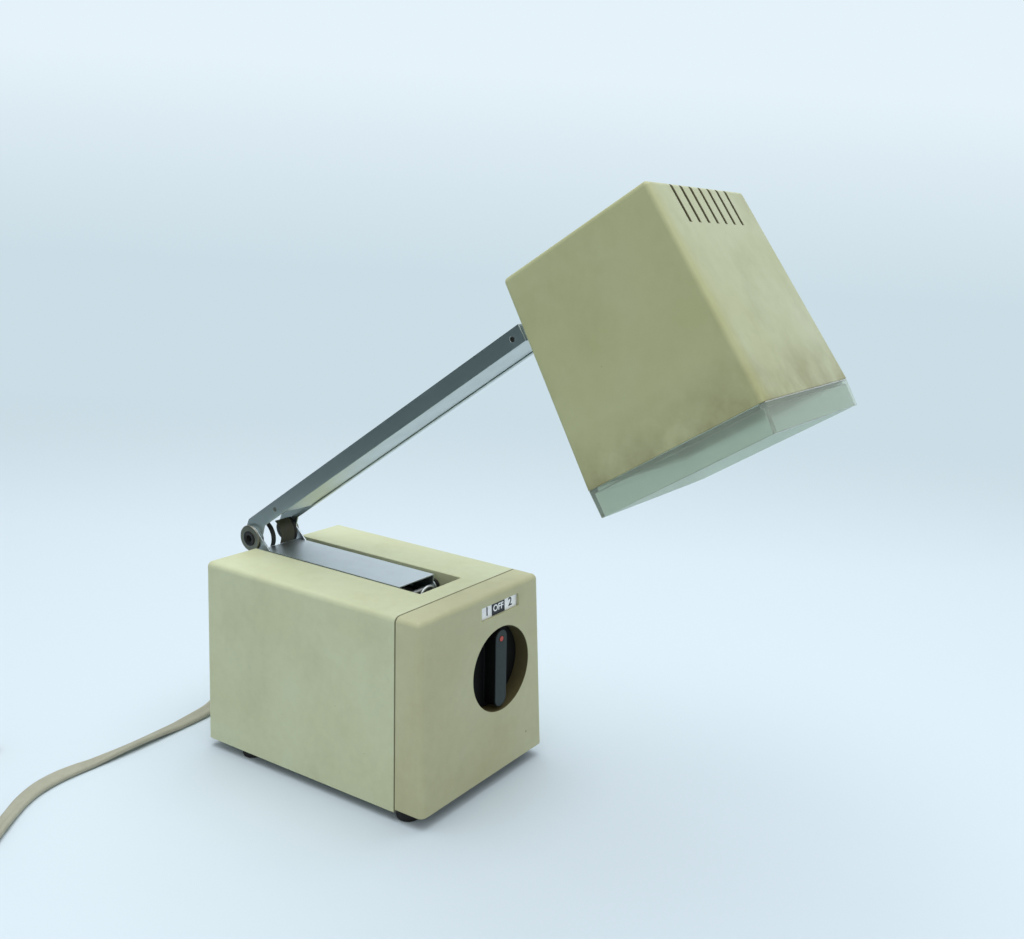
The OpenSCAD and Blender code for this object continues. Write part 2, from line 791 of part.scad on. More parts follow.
module clamp_screws() {
    r = clamp_screw_r;
    color(bright_steel) both_sides_of(cord_exit_y)
        translate([clamp_x + clamp_l / 2, cord_w / 2 + clamp_side / 2, cord_exit_z + cord_t / 2 + clamp_top])
            rotate([180, 0, 0]) screw_up(r, cord_t / 2 + clamp_top - fit, r + over / 2, head_h);
}

low_top = top_z - low_drop;
low_half = low_w / 2;
low_front_x = pivot_x + (slot_x - pivot_x) / 10;
low_rear_x = elbow_x + ear_r;
low_lobe_r = 3.6;

// The side of the lower arm: a long flange, an ear round the elbow and a lobe round the pin
module lower_side() {
    flange_low = low_top - low_depth;
    difference() {
        union() {
            translate([low_rear_x, flange_low]) square([low_front_x - low_rear_x, low_depth]);
            translate([elbow_x, elbow_z]) circle(ear_r);
            polygon([
                [elbow_x - ear_r * sin(ear_slope), elbow_z - ear_r * cos(ear_slope)],
                [low_rear_x, flange_low], [low_rear_x + ear_r, low_top],
                [elbow_x + ear_r * sin(ear_slope), elbow_z + ear_r * cos(ear_slope)]
            ]);
            translate([pivot_x, pivot_z]) circle(low_lobe_r);
        }
        translate([elbow_x, elbow_z]) circle(rivet_shank_d / 2 + running);
        translate([pivot_x, pivot_z]) circle(pivot_pin_d / 2 + running);
    }
}

ear_slope = 30;

// The lower arm: an upside-down channel that lies in the slot, flush with the top of the base
module lower_channel() {
    web_rear_x = elbow_x + ear_r + rivet_cap_t;
    color(aluminium) {
        both_sides() plate_y(low_half - sheet, low_half) lower_side();
        block([web_rear_x, -low_half, low_top - sheet], [low_front_x, low_half, low_top]);
    }
}

arm_half = low_half - sheet - fit;
washer_t = 1.5;
rivet_in = arm_half - sheet - fit - washer_t;

// Two hollow rivets, on which the upper arm's ears turn
module elbow_rivets() {
    lip = rivet_cap_t / 3;
    color(bright_steel) both_sides() translate([elbow_x, 0, elbow_z]) rotate([-90, 0, 0]) rotate_extrude()
        polygon([
            [rivet_bore_d / 2, rivet_in], [rivet_shank_d / 2, rivet_in], [rivet_shank_d / 2, low_half],
            [rivet_cap_d / 2, low_half], [rivet_cap_d / 2, low_half + rivet_cap_t - lip],
            [rivet_cap_d / 2 - lip, low_half + rivet_cap_t],
            [rivet_bore_d / 2 + lip, low_half + rivet_cap_t], [rivet_bore_d / 2, low_half + rivet_cap_t - lip]
        ]);
}

// Two washers inside the upper arm's ears, pressed on the rivets' ends
module elbow_washers() {
    color(black_steel) both_sides() translate([elbow_x, 0, elbow_z]) difference() {
        bar_y(rivet_in, rivet_in + washer_t, outer_ear_r - sheet / 2);
        bar_y(rivet_in - over, rivet_in + washer_t + over, rivet_shank_d / 2);
    }
}

strip_end = 26;
strip_lift = 1;

// A strip bent round the elbow's axis, standing on the lower arm's web
module bent_strip(y0, y1, t) {
    a0 = asin((low_top - elbow_z) / (strip_r - t));
    translate([elbow_x, y0, elbow_z]) rotate([-90, 0, 0]) rotate([0, 0, -strip_end])
        rotate_extrude(angle = strip_end - a0 - strip_lift)
            translate([strip_r - t, 0]) square([t, y1 - y0]);
}

narrow_y = [-6.5, -3.9];
guard_y = [-0.2, 8.4];
sleeve_y = [8.6, 10.1];

module narrow_strip() {
    color(black_steel) bent_strip(narrow_y[0], narrow_y[1], strip_t);
}

module guard_strip() {
    color("#4a4a3a") bent_strip(guard_y[0], guard_y[1], strip_t);
}

module strip_sleeve() {
    color(dark_plastic) bent_strip(sleeve_y[0], sleeve_y[1], 2 * strip_t);
}

outer_half = arm_half;
arm_high = arm_low + arm_depth;
outer_end = arm_reach - outer_short;
web_start = 3.5;
lip_w = 1.3;
lip_t = 0.5;
hole_back = 6;
hole_d = 2.4;
dimple_x = inner_start - dimple_d / 2 - seat;
side_mid = (arm_low + arm_high) / 2;

// The outer channel of the upper arm: open below, with narrow lips that hold the inner one
module outer_channel() {
    color(aluminium) on_arm() difference() {
        union() {
            both_sides() {
                plate_y(outer_half - sheet, outer_half) {
                    circle(outer_ear_r);
                    polygon([
                        [-outer_ear_r * sin(arm_angle), outer_ear_r * cos(arm_angle)],
                        [outer_ear_r * sin(arm_angle), -outer_ear_r * cos(arm_angle)],
                        [2 * outer_ear_r, arm_low], [2 * outer_ear_r, arm_high], [web_start, arm_high]
                    ]);
                    translate([2 * outer_ear_r, arm_low]) square([outer_end - 2 * outer_ear_r, arm_depth]);
                }
                block([inner_start, outer_half - sheet - lip_w, arm_low],
                    [outer_end, outer_half, arm_low + lip_t]);
            }
            block([web_start, -outer_half, arm_high - sheet], [outer_end, outer_half, arm_high]);
        }
        bar_y(-low_w, low_w, rivet_shank_d / 2 + running);
        translate([outer_end - hole_back, 0, side_mid]) bar_y(-low_w, low_w, hole_d / 2);
        translate([dimple_x, 0, side_mid]) bar_y(-low_w, low_w, dimple_d / 2 - sheet);
    }
}

// Small stops pressed into the outer channel's sides, behind the inner channel's end
module arm_dimples() {
    color(aluminium) on_arm() both_sides() translate([dimple_x, 0, side_mid])
        bar_y(outer_half - 2 * sheet, outer_half - fit, dimple_d / 2 - sheet - fit / 2);
}

inner_half = outer_half - sheet - fit;
inner_low = arm_low + lip_t + fit;
inner_high = arm_high - sheet - fit;
neck_back = 12;
inner_web_end = arm_reach - neck_back;

// The inner channel of the upper arm: open above, with ears that carry the head
module inner_channel() {
    color(aluminium) on_arm() difference() {
        union() {
            both_sides() plate_y(inner_half - sheet, inner_half) {
                translate([inner_start, inner_low])
                    square([inner_web_end - inner_start, inner_high - inner_low]);
                translate([arm_reach, 0]) circle(inner_ear_r);
                polygon([
                    [inner_web_end, inner_low],
                    [arm_reach - inner_ear_r * sin(neck_low), -inner_ear_r * cos(neck_low)],
                    [arm_reach, 0], [arm_reach - inner_ear_r * sin(neck_high), inner_ear_r * cos(neck_high)],
                    [inner_web_end, inner_high]
                ]);
            }
            block([inner_start, -inner_half, inner_low], [inner_web_end, inner_half, inner_low + sheet]);
        }
        translate([arm_reach, 0, 0]) bar_y(-low_w, low_w, head_pin_d / 2 + running);
    }
}

neck_low = 60;
neck_high = 20;
slide_l = 12;

// The insulating block in the inner channel's far end
module slide_block() {
    color("#c9b27a") on_arm() difference() {
        block([inner_start + sheet, -inner_half + sheet + fit, inner_low + sheet + fit],
            [inner_start + sheet + slide_l, inner_half - sheet - fit, inner_high]);
        translate([inner_start + sheet + slide_l / 2, 0, inner_low]) cylinder(r = hole_d, h = arm_depth);
    }
}

head_pin_cap = 0.9;
bracket_t = 1;
bracket_half = inner_half - sheet - seat;
wall_gap = 0.1;

// The pin through the inner channel's ears and the head's bracket
module head_pin() {
    color(bright_steel) on_arm() translate([arm_reach, 0, 0]) {
        bar_y(-inner_half - head_pin_cap, inner_half + head_pin_cap, head_pin_d / 2);
        both_sides() bar_y(inner_half, inner_half + head_pin_cap, head_pin_d / 2 + sheet);
    }
}

mouth_z = shade_top - shade_h;
rear_lean = atan(shade_rear_draft / shade_h);
wall_x = shade_back - shade_rear_draft * mouth_z / shade_h;

// A place on the shade's rear wall at the pivot's height, with X pointing into the shade
module on_rear_wall() {
    translate([wall_x, 0, 0]) rotate([0, rear_lean, 0]) children();
}

bracket_h = 14;
bracket_ear_r = 4.6;
rivet_up = 4.5;
rivet_r = 1.2;

// The folded steel bracket that hangs the head on its pin
module head_bracket() {
    color(black_steel) difference() {
        union() {
            on_head() on_rear_wall()
                block([-bracket_t - wall_gap, -bracket_half, -bracket_h / 2],
                    [-wall_gap, bracket_half, bracket_h / 2]);
            on_head() both_sides() plate_y(bracket_half - bracket_t, bracket_half) {
                circle(bracket_ear_r);
                translate([0, -bracket_ear_r]) square([wall_x - bracket_t / 2 - wall_gap, 2 * bracket_ear_r]);
            }
        }
        on_head() bar_y(-low_w, low_w, head_pin_d / 2 + running);
        on_head() on_rear_wall() for (z = [-1, 1]) translate([0, 0, z * rivet_up])
            bar_x(-bracket_t - over, over, rivet_r + running);
    }
}

module bracket_rivets() {
    color(bright_steel) on_head() on_rear_wall() for (z = [-1, 1]) translate([0, 0, z * rivet_up]) {
        bar_x(-bracket_t - wall_gap - bracket_t / 2, shade_wall + bracket_t, rivet_r);
        bar_x(-bracket_t - wall_gap - bracket_t / 2, -bracket_t - wall_gap, 2 * rivet_r);
        bar_x(shade_wall + fit, shade_wall + bracket_t, 2 * rivet_r);
    }
}

shade_x0 = shade_back;
shade_x1 = shade_back + shade_l;

// The outer form of the shade, or the form of its inside when inset by the wall
module shade_form(inset, drop) {
    r = max(least_r, shade_r - inset);
    side = inset + r;
    hull() both_sides() for (z = [mouth_z - drop, shade_top - side]) {
        up = (z - mouth_z) / shade_h;
        y = shade_w / 2 - side - shade_side_draft * up;
        for (x = [shade_x0 + side + shade_rear_draft * up, shade_x1 - side - shade_front_draft * up])
            translate([x, y, z]) {
                if (up > 0) sphere(r = r, $fn = round_fn);
                else cylinder(r = r, h = thin, $fn = round_fn);
            }
    }
}

vent_x = shade_x1 - shade_front_draft;

// The boxy moulded shade, open below, with vents over its top front edge
module shade_shell() {
    color(beige) on_head() difference() {
        shade_form(0, 0);
        shade_form(shade_wall, over);
        for (i = [0 : vent_n - 1]) translate([0, (i - (vent_n - 1) / 2) * vent_pitch, 0])
            block([vent_x - vent_back, -vent_w / 2, shade_top - vent_down],
                [shade_x1 + over, vent_w / 2, shade_top + over]);
        on_rear_wall() for (z = [-1, 1]) translate([0, 0, z * rivet_up])
            bar_x(-over, shade_wall + over, rivet_r + running);
        for (side = [-1, 1]) translate([socket_x + side * bridge_half, 0, shade_top - shade_wall - over])
            cylinder(r = screw_hole_r, h = shade_wall / 2 + over);
    }
}

rim_flare = 0.6;
rim_z = mouth_z - skirt_h;
skirt_gap = 0.15;
tongue_t = 1;

// A slice of the skirt's form between two heights
module skirt_form(inset, z0, z1) {
    r = max(least_r, shade_r - inset);
    side = inset + r;
    y0 = shade_w / 2 - side;
    grow0 = rim_flare * (mouth_z - z0) / skirt_h;
    hull() both_sides() {
        for (x = [shade_x0 + side + grow0, shade_x1 - side - grow0])
            translate([x, y0 + grow0, z0]) cylinder(r = r, h = thin, $fn = round_fn);
        for (x = [shade_x0 + side, shade_x1 - side])
            translate([x, y0, z1 - thin]) cylinder(r = r, h = thin, $fn = round_fn);
    }
}

// The clear ring under the shade, with a thin tongue up inside it
module clear_skirt() {
    tongue_out = shade_wall + 2 * seat;
    tongue_in = tongue_out + tongue_t;
    color(clear) on_head() {
        difference() {
            skirt_form(skirt_gap, rim_z, mouth_z - skirt_gap);
            skirt_form(skirt_t + skirt_gap, rim_z - over, mouth_z + over);
        }
        difference() {
            intersection() {
                union() {
                    skirt_form(skirt_t, mouth_z - skirt_t, mouth_z - skirt_gap);
                    shade_form(tongue_out, skirt_t);
                }
                block([0, -shade_w, mouth_z - skirt_t], [2 * shade_l, shade_w, mouth_z + tongue_h]);
            }
            shade_form(tongue_in, skirt_t + over);
        }
    }
}

socket_x = shade_x0 + shade_l / 2;
socket_t = 1;
socket_under = 6;
socket_r = cap_d / 2 + socket_t;
socket_top = shade_top - shade_wall - socket_under;
socket_h = 22;
bridge_t = 1.2;
bridge_half = 22;
bridge_w = 22;

// A bent steel bridge under the shade's top, which holds the lamp socket
module socket_bridge() {
    roof = shade_top - shade_wall - fit;
    color(bright_steel) on_head() translate([socket_x, 0, 0]) difference() {
        plate_y(-bridge_w / 2, bridge_w / 2) {
            for (side = [-1, 1]) {
                translate([side > 0 ? bridge_half - screw_bite : -bridge_half - head_r, roof - bridge_t])
                    square([screw_bite + head_r, bridge_t]);
                translate([side > 0 ? bridge_half - screw_bite : -bridge_half + screw_bite - bridge_t,
                        socket_top - bridge_t])
                    square([bridge_t, roof - socket_top + bridge_t]);
            }
            translate([-bridge_half + screw_bite - bridge_t, socket_top - bridge_t])
                square([2 * (bridge_half - screw_bite + bridge_t), bridge_t]);
        }
        translate([0, 0, socket_top - bridge_t - over]) cylinder(r = socket_r - fit, h = bridge_t + 2 * over);
        for (side = [-1, 1]) translate([side * bridge_half, 0, roof - bridge_t - over])
            cylinder(r = screw_hole_r, h = bridge_t + 2 * over);
    }
}

module bridge_screws() {
    roof = shade_top - shade_wall - fit;
    color(bright_steel) on_head() for (side = [-1, 1])
        translate([socket_x + side * bridge_half, 0, roof - bridge_t])
            screw_up(screw_r, bridge_t + shade_wall / 2, head_r, head_h);
}

bayonet_w = 2.4;
bayonet_l = 8;
socket_low = socket_top - bridge_t - socket_h;

// The bayonet socket: a tube with a collar and two slots
module lamp_socket() {
    color(brass) on_head() translate([socket_x, 0, 0]) difference() {
        union() {
            translate([0, 0, socket_low]) cylinder(r = socket_r, h = socket_h);
            translate([0, 0, socket_top - bridge_t - over / 2])
                cylinder(r = socket_r - 2 * fit, h = bridge_t + over);
        }
        translate([0, 0, socket_low - over])
            cylinder(r = cap_d / 2 + running, h = socket_h + 3 * over + bridge_t);
        translate([0, 0, socket_low + bayonet_l / 2 - over])
            cube([3 * socket_r, bayonet_w, bayonet_l], center = true);
    }
}

contact_r = 4;

module socket_contact() {
    color(copper) on_head() translate([socket_x, 0, socket_low + socket_h - bridge_t - over])
        cylinder(r = cap_d / 2 - fit, h = bridge_t + 2 * over);
}

cap_l = socket_h - bridge_t - 2 * over;
globe_neck_r = 5.5;
cap_top = socket_low + cap_l;

// The bulb's metal cap, with its two side pins
module bulb_cap() {
    color(brass) on_head() translate([socket_x, 0, 0]) {
        translate([0, 0, cap_top - cap_l]) cylinder(r = cap_d / 2, h = cap_l);
        translate([0, 0, cap_top - fit]) cylinder(r = contact_r, h = over);
        translate([0, 0, socket_low + bayonet_l / 2]) bar_x(-socket_r, socket_r, bayonet_w / 3);
    }
}

globe_z = socket_low - globe_neck_r - globe_d / 2;

// The bulb's round glass
module bulb_globe() {
    color(clear) on_head() translate([socket_x, 0, 0]) rotate_extrude() difference() {
        union() {
            translate([0, globe_z]) circle(globe_d / 2);
            translate([0, globe_z]) square([globe_neck_r, socket_low - seat - globe_z]);
        }
        translate([-globe_d, globe_z - globe_d]) square([globe_d, 2 * globe_d + socket_r]);
    }
}

// Points along a route, as rings of a flat cord that keeps its wide side level
function unit(v) = v / norm(v);
function tangent(path, i) = unit(path[min(i + 1, len(path) - 1)] - path[max(i - 1, 0)]);
function ring(p, t, share) = let (side = unit(cross([0, 0, 1], t)), up = cross(t, side))
    [for (s = share) p + side * s[0] * cord_w / 2 + up * s[1] * cord_t / 2];

// A tube of triangles swept along a route, closed at both ends
module tube(path, share) {
    n = len(share);
    m = len(path);
    points = [for (i = [0 : m - 1]) each ring(path[i], tangent(path, i), share)];
    sides = [for (i = [0 : m - 2], k = [0 : n - 1]) let (a = i * n + k, b = i * n + (k + 1) % n)
        each [[a, a + n, b], [b, a + n, b + n]]];
    ends = [for (k = [1 : n - 2]) each [[0, k, k + 1], [(m - 1) * n, (m - 1) * n + k + 1, (m - 1) * n + k]]];
    polyhedron(points = points, faces = concat(sides, ends));
}

cord_z = cord_t / 2 + fit / 2;

// The cord's route over the table, from its sleeve to the coil
run_points = [
    [-87, 32, 18], [-92.5, 30.3, 17.3], [-97.6, 26.7, 15.8], [-102, 22.4, 14.2],
    [-105.4, 17, 12.2], [-107.6, 11, 10], [-108.4, 4, 7.8], [-107.6, -3.4, 5.8], [-105.4, -10.6, 4.2],
    [-102.8, -17.2, 3], [-100.8, -24, 2.2], [-100, -32, 1.8], [-99.6, -41, 1.7], [-99, -51, 1.7],
    [-98.4, -61, 1.7], [-98, -71, 1.7], [-98.1, -81, 1.7], [-98.5, -91, 1.7], [-98.7, -101, 1.7],
    [-98, -111, 1.7], [-95.6, -121, 1.7], [-91, -130.6, 1.7], [-85, -139, 1.7], [-78.4, -147.1, 1.7],
    [-71.8, -155.2, 1.7]
];

// The coil of the length that is put away: it spirals in on the table and out again on top
coil_c = [-98.5, -199.2];
coil_out = 48.5;
coil_pitch = 7.3;
coil_turns = 6.5;
coil_start = 39.3;
coil_lift = 3.8;
coil_rings = 24;
coil_soft = 0.12;

function coil_r(t) = let (d = t - coil_turns / 2)
    coil_out - coil_pitch * (coil_turns / 2 - sqrt(d * d + coil_soft * coil_soft));
function climb(t) = let (u = min(1, max(0, (t - coil_turns / 2) * 2 + 0.5))) u * u * (3 - 2 * u);
function coil_at(t) = let (a = coil_start - 360 * t, r = coil_r(t))
    [coil_c[0] + r * cos(a), coil_c[1] + r * sin(a), cord_z + coil_lift * climb(t)];
coil_head = [sin(coil_start), -cos(coil_start), 0];
coil_way = [sin(coil_start - 360 * coil_turns), -cos(coil_start - 360 * coil_turns), 0];
coil_path = concat(
    [coil_at(0) - coil_head * cord_w],
    [for (i = [0 : coil_turns * coil_rings]) coil_at(i / coil_rings)],
    [coil_at(coil_turns) + coil_way * cord_w]
);

// The last stretch, down from the coil's top turn to the plug
tail_points = [
    [-144.1, -220, 5.5], [-148.3, -214.5, 5], [-152, -208.4, 4.1], [-155.2, -201.8, 3.2],
    [-157.6, -194.6, 2.6], [-158.8, -187.4, 2.8], [-159, -180, 4], [-159, -173, 5.6],
    [-159, -167, 7], [-159, -161, 7]
];
run_route = concat([[bushing_x, cord_exit_y, cord_exit_z]], run_points, [coil_path[0]]);
tail_route = concat([coil_path[len(coil_path) - 1]], tail_points);

// The least gap between turns that lie beside or on each other, measured on the rings' points
coil_skip = coil_rings / 2;
coil_ring_points = [for (i = [0 : len(coil_path) - 1]) ring(coil_path[i], tangent(coil_path, i), coil_share)];
coil_gaps = [
    for (i = [0 : len(coil_path) - 1], j = [i + coil_skip : 1 : len(coil_path) - 1])
        if (norm(coil_path[i] - coil_path[j]) < 2 * cord_w)
            for (a = coil_ring_points[i], b = coil_ring_points[j]) norm(a - b)
];
function path_l(path, i = 1) = i >= len(path) ? 0 : norm(path[i] - path[i - 1]) + path_l(path, i + 1);
union() {  // cord_coil
    echo(coil_least_gap = min(coil_gaps));
    echo(cord_length = path_l(run_route) + path_l(coil_path) + path_l(tail_route));
}

module cord_run() {
    color(pale_beige) tube(run_route, cord_share);
}

module cord_coil() {
    color(pale_beige) tube(coil_path, coil_share);
}

module cord_tail() {
    color(pale_beige) tube(tail_route, cord_share);
}

tie_w = 5;
tie_t = 1.2;
tie_gap = 0.3;
tie_angle = -60;
tie_turn = (coil_start - tie_angle) / 360;
tie_in = coil_r(coil_turns / 2) - cord_w / 2 - tie_gap;
tie_out = max(coil_r(tie_turn), coil_r(coil_turns - coil_turns % 1 + tie_turn)) + cord_w / 2 + tie_gap;
tie_h = cord_z + coil_lift + cord_t / 2 + tie_gap;

// A band round one side of the coil
module coil_tie() {
    color(rubber) translate([coil_c[0], coil_c[1], 0]) rotate([0, 0, tie_angle]) difference() {
        block([tie_in - tie_t, -tie_w / 2, 0], [tie_out + tie_t, tie_w / 2, tie_h + tie_t]);
        block([tie_in, -tie_w, -over], [tie_out, tie_w, tie_h]);
    }
}

plug_at = tail_route[len(tail_route) - 1];
plug_l = 34;
plug_w = 26;
plug_h = 14;
neck_l = 10;
pin_r = 2;
pin_l = 19;
pin_gap = 19;

// The flat two-pin plug, with its tapered neck
module plug_body() {
    color(pale_beige) translate(plug_at) rotate([0, 0, 90]) difference() {
        union() {
            rotate([0, 90, 0]) cylinder(r1 = cord_w / 2 + over, r2 = plug_h / 2 - over, h = neck_l);
            hull() both_sides() for (z = [-1, 1]) {
                translate([neck_l, plug_w / 2 - plug_h / 2, z * (plug_h / 2 - over)])
                    rotate([0, 90, 0]) cylinder(r = over, h = thin, $fn = round_fn);
                translate([plug_l, plug_w / 2 - over, z * (plug_h / 2 - over)])
                    rotate([0, 90, 0]) cylinder(r = over, h = thin, $fn = round_fn);
                translate([plug_l / 2, plug_w / 2 - over, z * (plug_h / 2 - over)])
                    sphere(r = over, $fn = round_fn);
            }
        }
        both_sides() translate([0, pin_gap / 2, 0]) bar_x(plug_l - neck_l, plug_l + over, pin_r + running);
    }
}

module plug_pins() {
    color(bright_steel) translate(plug_at) rotate([0, 0, 90]) both_sides() translate([0, pin_gap / 2, 0])
        bar_x(plug_l - neck_l, plug_l + pin_l, pin_r);
}

main_housing();
front_cover();
bottom_plate();
rubber_feet();
foot_screws();
bottom_screws();
slot_trough();
trough_screws();
arm_pivot_pin();
slot_wire();
transformer_core();
coil_bobbin();
transformer_windings();
clamp_frame();
frame_screws();
rotary_switch();
switch_screws();
label_plate();
terminal_block();
terminal_screws();
cord_bushing();
inner_lead();
cord_clamp();
clamp_screws();
switch_knob();
pointer_dot();
switch_shaft();
lower_channel();
elbow_rivets();
elbow_washers();
narrow_strip();
guard_strip();
strip_sleeve();
outer_channel();
arm_dimples();
inner_channel();
slide_block();
head_pin();
shade_shell();
clear_skirt();
head_bracket();
bracket_rivets();
socket_bridge();
bridge_screws();
lamp_socket();
socket_contact();
bulb_globe();
bulb_cap();
cord_run();
cord_coil();
cord_tail();
coil_tie();
plug_body();
plug_pins();
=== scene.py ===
# %% [markdown]
# # A folding table lamp with a telescopic arm
# The lamp has a boxy plastic base that holds a transformer, a sheet-metal arm that folds into the
# base's top, and a boxy plastic head with a clear skirt. Its working parts come from the CAD
# model, which is loaded here as a fixed frame. This script gives every surface its finish, rounds
# the edges that a mould or a press leaves round, and adds the cord, the printed label and the
# light.

# %% Load the CAD frame
import json
import math

import bmesh
import bpy
from mathutils import Matrix, Vector


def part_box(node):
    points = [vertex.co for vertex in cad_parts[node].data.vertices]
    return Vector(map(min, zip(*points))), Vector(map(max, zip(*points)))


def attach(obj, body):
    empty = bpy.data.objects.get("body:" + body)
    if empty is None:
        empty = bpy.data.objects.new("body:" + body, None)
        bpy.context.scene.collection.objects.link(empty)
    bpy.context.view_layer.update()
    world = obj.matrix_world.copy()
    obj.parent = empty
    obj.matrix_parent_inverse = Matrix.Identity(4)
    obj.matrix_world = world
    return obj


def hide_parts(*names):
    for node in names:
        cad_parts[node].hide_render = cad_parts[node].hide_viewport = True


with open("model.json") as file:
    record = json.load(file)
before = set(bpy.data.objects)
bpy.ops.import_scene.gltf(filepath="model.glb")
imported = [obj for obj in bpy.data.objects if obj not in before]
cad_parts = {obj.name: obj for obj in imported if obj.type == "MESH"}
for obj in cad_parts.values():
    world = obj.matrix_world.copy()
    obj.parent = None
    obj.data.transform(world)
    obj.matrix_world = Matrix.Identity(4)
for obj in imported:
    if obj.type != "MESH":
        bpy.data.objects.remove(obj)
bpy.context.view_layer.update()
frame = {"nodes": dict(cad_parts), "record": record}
nodes = frame["nodes"]
mm = 0.001

# %% [markdown]
# ## The camera
# The photograph was solved for its camera once, from the straight edges of the base and the head.
# That gave a place, three axes and a focal length in pixels. The centre of the view isn't the
# centre of the picture, so the sensor is shifted by the same share of the picture's width.

# %% Camera
picture_w = 1024
picture_h = 939
focal_px = 1044.318
centre_px = (662.002, 529.504)
sensor_mm = 36
camera_near = 10 * mm
camera_place = Vector((356.828, -361.512, 270.49)) * mm
camera_right = Vector((0.869779, 0.49018, 0.05664))
camera_up = Vector((-0.185164, 0.21783, 0.958261))
camera_back = camera_right.cross(camera_up)

camera_data = bpy.data.cameras.new("photo_camera")
camera_data.sensor_width = sensor_mm
camera_data.lens = sensor_mm * focal_px / picture_w
camera_data.shift_x = (picture_w / 2 - centre_px[0]) / picture_w
camera_data.shift_y = (centre_px[1] - picture_h / 2) / picture_w
camera_data.clip_start = camera_near
camera = bpy.data.objects.new("photo_camera", camera_data)
bpy.context.scene.collection.objects.link(camera)
camera_axes = Matrix((camera_right, camera_up, camera_back)).transposed().to_4x4()
camera.matrix_world = Matrix.Translation(camera_place) @ camera_axes
bpy.context.scene.camera = camera
print(f"lens {camera_data.lens:.2f} mm, shift {camera_data.shift_x:.4f}, {camera_data.shift_y:.4f}")

# %% [markdown]
# ## Finishes as sums
# A finish is a handful of nodes, and most of them are arithmetic on a few textures. Written as
# wires that is hard to read, so one small class wraps a socket: an operator on it adds the Math
# node that does the sum. Every other node comes from `node`, which sets the node up and fills its
# sockets.

# %% A socket that takes part in sums
class Value:
    """A node's output, on which sums can be written."""

    def __init__(self, finish, socket):
        self.finish = finish
        self.socket = socket

    def maths(self, operation, *values, clamp=False):
        """A Math node on one to three values."""
        settings = {"operation": operation, "use_clamp": clamp}
        return self.finish.node("ShaderNodeMath", settings, values)

    def __add__(self, other):
        return self.maths("ADD", self, other)

    def __sub__(self, other):
        return self.maths("SUBTRACT", self, other)

    def __rsub__(self, other):
        return self.maths("SUBTRACT", other, self)

    def __mul__(self, other):
        return self.maths("MULTIPLY", self, other)

    def __gt__(self, other):
        return self.maths("GREATER_THAN", self, other)

    def __lt__(self, other):
        return self.maths("LESS_THAN", self, other)

    def size(self):
        """The value without its sign."""
        return self.maths("ABSOLUTE", self)

    def part(self, letter):
        """One coordinate of a point."""
        return self.finish.node("ShaderNodeSeparateXYZ", {}, (self,), letter)

    def limited(self):
        """The value, kept from 0 to 1."""
        return self.maths("MULTIPLY", self, 1, clamp=True)

    __radd__ = __add__
    __rmul__ = __mul__


# %% A finish: one material and the nodes that make it
# A Mix node has sockets for each kind of data. These are its factor and its three colour ones.
mix_factor, mix_under, mix_over, mix_result = 0, 6, 7, 2


